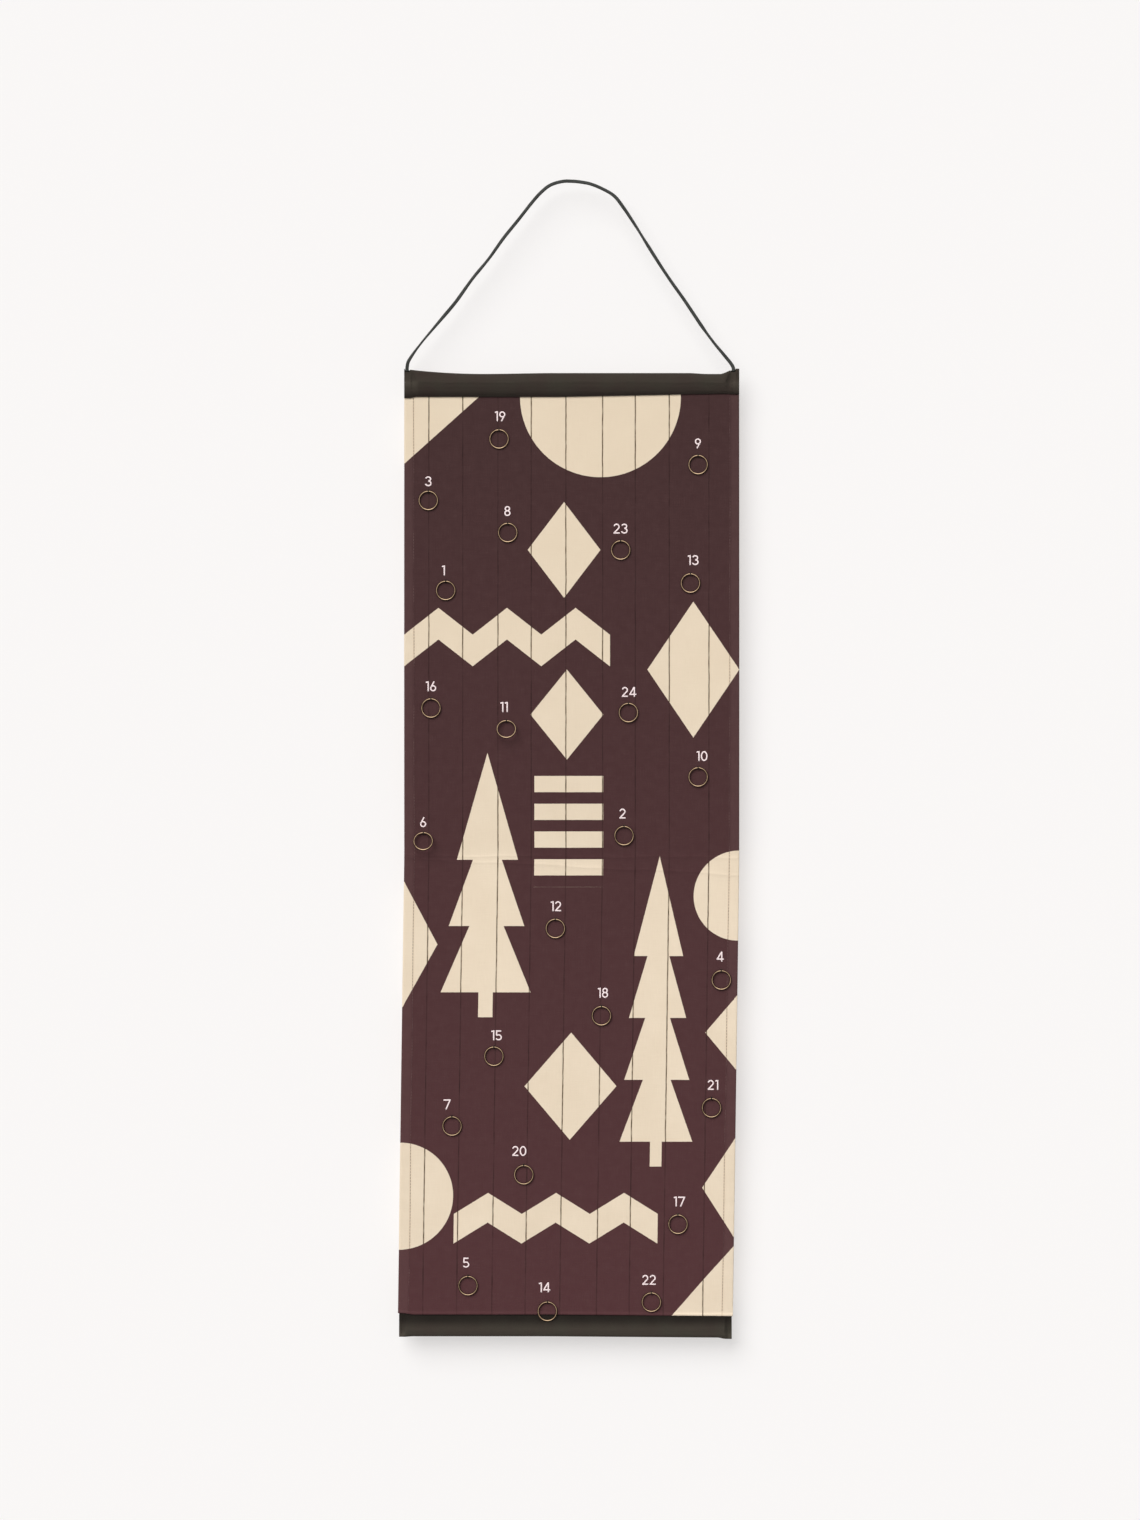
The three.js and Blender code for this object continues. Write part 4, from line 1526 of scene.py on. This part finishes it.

# %% [markdown]
# Each casing is one skin over its sections, and the top one loses the two mouths. How wide the tape was
# cut follows from the section: it is the length of the hairpin.

# %% Fold both casings
def strip_length(strip):
    """Cut length of a casing's tape: once along its hairpin, between the outer and the inner line."""
    outline = np.array(strip.section(0))
    return float(np.linalg.norm(np.diff(outline, axis=0, append=outline[:1]), axis=1).sum()) / 2


for strip, twill, node, name in (
    (top_strip, top_twill, "top_casing", "top_tape"),
    (bottom_strip, bottom_twill, "bottom_casing", "bottom_tape"),
):
    skins = Skins()
    skins.add(strip.rings())
    piece = skins.make(name, twill)
    if strip is top_strip:
        cut(piece, [mouth_cutter(x) for x in LACE_EXITS])
    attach(piece, "panel")
    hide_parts(node)
    width = strip_length(strip)
    rod = node.replace("casing", "rod")
    print(name, "is cut", round(width, 1), "mm wide")

# %% [markdown]
# The seams of the casings are sewn with a thread of the tape's own colour, so from a step away they only
# show as a fine dotted line. A seam runs 2 mm inside the edge of the tape, on both of its faces, and
# across each flat end. The foot's front edge is under the roll of the cloth, so its seam shows behind.

# %% Sew the casings
SEAM_INSET = 2
SEAM_MARGIN = 3  # from the end of the tape to the end of its seam
END_SEAM_MARGINS = (3, 4)  # from the fold and from the edge of the tape to a seam across it
TOP_END_SEAM = 7.5  # from the end of the tape to the seam across it
BOTTOM_END_SEAM = 2.5
CASING_THREAD_RADIUS = 0.2


def casing_seam(skins, strip, ends, faces, seam_z):
    """One seam along the tape on these faces, and one across each end, at this distance from the end."""
    half = strip.length / 2
    along = np.arange(SEAM_MARGIN - half, half - SEAM_MARGIN, LINE_STEP)
    for face in faces:
        drop = strip.front_drop(along, half - np.abs(along)) if face < 0 else 0
        line = np.stack([strip.centre_x + along, seam_z - drop + 0 * along], 1)
        sew(skins, line, lambda x, z: strip.depth(x, z, face), CASING_THREAD_RADIUS, face)
    fold_margin, edge_margin = END_SEAM_MARGINS
    span = np.linspace(strip.fold_z - fold_margin * strip.side, strip.lap_end + edge_margin * strip.side, 12)
    for face in (-1, 1):
        for x in (ends - half, half - ends):
            line = np.stack([strip.centre_x + x + 0 * span, span], 1)
            sew(skins, line, lambda x, z: strip.depth(x, z, face), CASING_THREAD_RADIUS, face)


for strip, name, ends, faces in (
    (top_strip, "top_tape_stitches", TOP_END_SEAM, (-1, 1)),
    (bottom_strip, "bottom_tape_stitches", BOTTOM_END_SEAM, (1,)),
):
    skins = Skins()
    casing_seam(skins, strip, ends, faces, strip.lap_end + strip.side * SEAM_INSET)
    seam = skins.make(name, dark_thread)
    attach(seam, "panel")
    print(name, "of", len(seam.data.polygons), "faces")

# %% [markdown]
# ## Rings
#
# Each day has a sewn-on ring of brass wire. Its place, and how far it leans out to rest on the cloth, is
# read from the frame: the hinge is the joint's point, and the middle of the frame's ring gives the lean.
# The frame's wire has eight sides, so each ring gets a smooth one in its place.
#
# Antique brass is stained almost black, and here the dark stain also serves as painted shade on the sides
# of the wire. Only the front of the wire is bright, as rubbed brass and as a painted highlight: brighter
# where the wire lies level, and brightest at the lowest part of the ring. So each ring carries a map of
# where on the wire a point is: how low on the ring, and how far round to its front.

# %% Finish the brass
# A dark stain that is also painted shade on the wire's sides, and a bright front that is rubbed brass and
# painted highlight.
BRASS_DARK = (36, 20, 9)
BRASS_BROWN = (60, 40, 22)
BRASS_RUBBED_HIGHLIGHT = (234, 202, 166)


def brass_finish():
    finish = Finish("antique_brass")
    place = finish.node("TexCoord", output="Object")
    tarnish = finish.noise(place, 260.0, detail=4.0, roughness=0.6)
    scratches = finish.noise(place, 2400.0, detail=2.0)
    low, front, _ = finish.split(finish.node("UVMap", {"uv_map": "wire_place"}))
    # The front of the wire gets the painted highlight, brighter where the wire lies level and brightest at
    # the ring's foot.
    crown = finish.clamped(front * 18 - 16.8)
    level = abs(low * 2 - 1)
    rub_and_highlight = level**6 * 0.45 + low**10 * 0.3 + 0.4 + (tarnish - 0.5) * 0.9
    rubbed = finish.clamped(crown * rub_and_highlight)
    stain_and_shade = finish.mix(tarnish, linear(BRASS_DARK), linear(BRASS_BROWN))
    colour = finish.mix(rubbed, stain_and_shade, linear(BRASS_RUBBED_HIGHLIGHT))
    return finish.surface(
        height=scratches,
        depth=0.03,
        base_color=colour,
        metallic=1.0,
        roughness=rubbed * -0.18 + 0.38,
    )


antique_brass = brass_finish()
print("the brass takes", len(antique_brass.node_tree.nodes), "nodes")

# %% [markdown]
# Blender's torus would have the same shape. But the finish reads how low on the ring and how far round to
# its front a point is, so the wire is bent here from sections, and the place of each point is noted as it
# is made.

# %% Bend the rings
RING_SECTIONS = 72
WIRE_SIDES = 14


def wire_sections(seat, middle):
    """Sections of the wire, all round a ring that hangs from its seat, and the place of their points."""
    down = unit(middle - seat)
    right = np.array([1.0, 0, 0])
    back = np.cross(right, down)
    turn = np.linspace(0, 2 * math.pi, RING_SECTIONS, endpoint=False)[:, None]
    around = np.linspace(0, 2 * math.pi, WIRE_SIDES, endpoint=False)
    radial = np.cos(turn) * right + np.sin(turn) * down
    reach = RING_RADIUS + WIRE_RADIUS * np.cos(around)
    points = middle + radial[:, None] * reach[:, None] + (WIRE_RADIUS * np.sin(around))[:, None] * back
    places = np.stack(np.broadcast_arrays(0.5 + 0.5 * np.sin(turn), 0.5 - 0.5 * np.sin(around)), -1)
    return points, places.reshape(-1, 2)


for day, seat in ring_seats.items():
    node = f"ring_{day:02d}"
    low, high = box_mm(node)
    middle = np.array([seat[0], (low[1] + high[1]) / 2, (low[2] + high[2]) / 2])
    sections, wire_places = wire_sections(seat, middle)
    skins = Skins()
    skins.add(sections, joined=True)
    ring = skins.make(f"brass_ring_{day:02d}", antique_brass)
    mark_places(ring, "wire_place", wire_places)
    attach(ring, node)
    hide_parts(node)
print("rings bent:", len(ring_seats))

# %% [markdown]
# Dark thread goes over the top of each wire a few times and into the cloth on both sides of it. On the
# back it goes straight from hole to hole. No two are wound quite alike, so each strand gets its own small
# shift from a seeded draw.

# %% Tack each ring with thread
STRANDS = 3
STRAND_RADIUS = 0.24
STRAND_SIDES = 7
STRAND_SHIFT = 0.12
ARCH_POINTS = 9
ROOT_DEPTH = 0.35
BACK_LIFTS = [-0.3, 0.1, 0.15, 0.1, -0.3]  # off the back of the cloth, from hole to hole
TACK_WIDTH = 0.72
TACK_GAP = 0.3
TACK_RADIUS = WIRE_RADIUS + TACK_GAP + STRAND_RADIUS
draw = np.random.default_rng(24)


def strand(x_top, x_foot, seat):
    """One strand: out of the cloth above the wire, round its front and into the cloth below."""
    _, y, z = seat
    turn = np.linspace(math.pi / 2, 3 * math.pi / 2, ARCH_POINTS)
    arch = [(y + TACK_RADIUS * math.cos(a), z + TACK_RADIUS * math.sin(a)) for a in turn]
    above = (on_cloth(x_top, z + TACK_RADIUS) + ROOT_DEPTH, z + TACK_RADIUS)
    below = (on_cloth(x_foot, z - TACK_RADIUS) + ROOT_DEPTH, z - TACK_RADIUS)
    line = np.array([above, *arch, below])
    x = np.linspace(x_top, x_foot, len(line))
    return np.column_stack([x, line])


def cloth_layers(seat):
    """Layers of cloth behind a ring's seat: two on a hem, one elsewhere."""
    across = abs(seat[0] - sway_at(CLOTH_TOP - seat[2]))
    return 2 if across > CLOTH_WIDTH / 2 - HEM_WIDTH else 1


def back_strand(x_top, x_foot, seat):
    """The same strand's way back up, flat on the back of the cloth."""
    x = np.linspace(x_foot, x_top, len(BACK_LIFTS))
    z = seat[2] + TACK_RADIUS * np.linspace(-1, 1, len(BACK_LIFTS))
    y = on_cloth(x, z) + cloth_layers(seat) * CLOTH_THICKNESS + np.array(BACK_LIFTS)
    return np.column_stack([x, y, z])


for day, seat in ring_seats.items():
    skins = Skins()
    for place in np.linspace(-0.5, 0.5, STRANDS):
        shift_top, shift_foot = draw.uniform(-STRAND_SHIFT, STRAND_SHIFT, 2)
        x_top = seat[0] + place * TACK_WIDTH + shift_top
        x_foot = seat[0] + place * TACK_WIDTH + shift_foot
        front = strand(x_top, x_foot, seat)
        back = back_strand(x_top, x_foot + 2 * shift_foot, seat)
        skins.add(tube(front, STRAND_RADIUS, sides=STRAND_SIDES))
        skins.add(tube(back, STRAND_RADIUS, sides=STRAND_SIDES))
    tack = skins.make(f"ring_tack_{day:02d}", dark_thread)
    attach(tack, "panel")
    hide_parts(f"ring_stitch_{day:02d}")
print("rings tacked:", len(ring_seats), "with", STRANDS, "strands each")

# %% [markdown]
# ## The rods
#
# Both rods are sewn into their casings, and nothing of them shows until a casing is taken off. They are
# plain round dowels of pale wood, so they keep the frame's shape and get a long grain.

# %% Finish the rods
WOOD_DARK = (184, 148, 104)
WOOD_PALE = (216, 188, 146)


def wood_finish():
    finish = Finish("dowel_wood")
    place = finish.node("TexCoord", output="Object")
    x, y, z = finish.split(place)
    grain = finish.noise(finish.join(x * 12.0, y * 420.0, z * 420.0), 1.0, detail=3.0)
    colour = finish.mix(grain, linear(WOOD_DARK), linear(WOOD_PALE))
    return finish.surface(height=grain, depth=0.05, base_color=colour, roughness=grain * 0.2 + 0.5)


dowel_wood = wood_finish()
for rod in ("top_rod", "bottom_rod"):
    frame["nodes"][rod].data.materials.clear()
    frame["nodes"][rod].data.materials.append(dowel_wood)
    print(rod, "from", *box_mm(rod))

# %% [markdown]
# ## The wall and the floor
#
# The calendar hangs before a white wall, close enough for a soft shadow beside it. The wall and the floor
# are only there for what the camera sees: light passes them, so that the back of the calendar is lit too
# when the camera goes round, and no light comes back from them onto the cloth. From behind, both are
# clear. Most of their white is a glow of their own, because in a bright studio a shadow stays faint.

# %% Build the stage
WALL_Y = 22
FLOOR_Z = -1450
FAR = 3500  # from the middle to the edges of the stage, well out of the picture
WALL_WHITE = (248, 246, 245)
FLOOR_WHITE = (240, 239, 236)
STAGE_GLOW = 0.62  # share of the stage's white that no shadow reaches
SEEN_BY = ("Is Camera Ray", "Is Glossy Ray", "Is Transmission Ray")


def plane(name, corners, finish):
    mesh = bpy.data.meshes.new(name)
    mesh.from_pydata([[v * MM for v in corner] for corner in corners], [], [(0, 1, 2, 3)])
    mesh.materials.append(finish)
    stage = bpy.data.objects.new(name, mesh)
    bpy.context.scene.collection.objects.link(stage)
    return stage


def light_path(finish, *names):
    """Which kind of ray sees this, as numbers that are 0 or 1."""
    outputs = finish.node("LightPath").socket.node.outputs
    return [Value(finish, outputs[name]) for name in names]


def stage_finish(name, colour):
    """Paint that only the camera and mirrors see, from its front, and that lets light through."""
    finish = Finish(name)
    seen = highest(*light_path(finish, *SEEN_BY))
    behind = finish.node("NewGeometry", output="Backfacing")
    paint = finish.node("BsdfDiffuse", inputs={"Color": linear(colour)})
    light = finish.node("Emission", inputs={"Color": linear(colour), "Strength": 1.0})
    surface = finish.node("MixShader", inputs={0: STAGE_GLOW, 1: paint, 2: light})
    clear = finish.node("BsdfTransparent")
    shader = finish.node("MixShader", inputs={0: seen * (1 - behind), 1: clear, 2: surface})
    finish.node("OutputMaterial", inputs={"Surface": shader})
    return finish.material


wall_corners = [(-FAR, WALL_Y, FLOOR_Z), (FAR, WALL_Y, FLOOR_Z), (FAR, WALL_Y, FAR), (-FAR, WALL_Y, FAR)]
floor_corners = [(-FAR, -FAR, FLOOR_Z), (FAR, -FAR, FLOOR_Z), (FAR, FAR, FLOOR_Z), (-FAR, FAR, FLOOR_Z)]
plane("wall", wall_corners, stage_finish("white_wall", WALL_WHITE))
plane("floor", floor_corners, stage_finish("pale_floor", FLOOR_WHITE))
print("wall", WALL_Y, "mm behind the lace, floor at", FLOOR_Z)

# %% [markdown]
# ## Light
#
# A third of the light comes from all round, and the rest from a large soft light above and to the left of
# the camera. Together they light a surface that faces the camera so that its colour renders as it is
# written. What the brass mirrors is brighter above and below than at the sides, as in a room with a pale
# ceiling and floor, and a white screen stands behind the camera. The lamps themselves don't show in the
# brass, as behind a diffuser. A light from behind, level with the calendar, serves the views of the back.

# %% Light the calendar
ROUND_LIGHT = 0.36
KEY_LIGHT = 0.7
KEY_FROM = (-0.42, -0.8, 0.66)
SOFTNESS = 46  # of both lamps, in degrees across
BACK_LIGHT = 0.6
BACK_FROM = (0.4, 0.9, 0.12)


class World(Finish):
    """The surroundings, built as a finish is."""

    def __init__(self):
        self.world = bpy.data.worlds.new("studio")
        self.world.use_nodes = True
        self.tree = self.world.node_tree
        self.tree.nodes.clear()
        bpy.context.scene.world = self.world


def light_world():
    world = World()
    camera_ray, glossy, transmitted = light_path(world, *SEEN_BY)
    direction = world.node("TexCoord", output="Generated")
    _, toward_wall, up = world.split(direction)
    mirrored = highest(glossy, transmitted)
    screen = world.clamped(toward_wall * -2.5 - 1.3)
    shine = abs(up) * 1.2 + screen * 0.8 + 0.45
    level = mirrored * (shine - ROUND_LIGHT) + ROUND_LIGHT
    level = camera_ray * (1 - level) + level
    white = world.node("Background", inputs={"Color": linear(WALL_WHITE), "Strength": level})
    world.node("OutputWorld", inputs={"Surface": white})


def sun(name, came_from, level):
    """A distant light that gives a facing panel this level of its colour."""
    toward = unit(np.array(came_from))
    data = bpy.data.lights.new(name, "SUN")
    data.energy = level * math.pi / abs(toward[1])
    data.angle = math.radians(SOFTNESS)
    lamp = bpy.data.objects.new(name, data)
    pitch = math.atan2(math.hypot(toward[0], toward[1]), toward[2])
    lamp.rotation_euler = (pitch, 0, math.atan2(toward[0], -toward[1]))
    lamp.visible_glossy = False
    bpy.context.scene.collection.objects.link(lamp)
    print(name, "energy", round(data.energy, 2))


light_world()
sun("key_light", KEY_FROM, KEY_LIGHT)
sun("back_light", BACK_FROM, BACK_LIGHT)
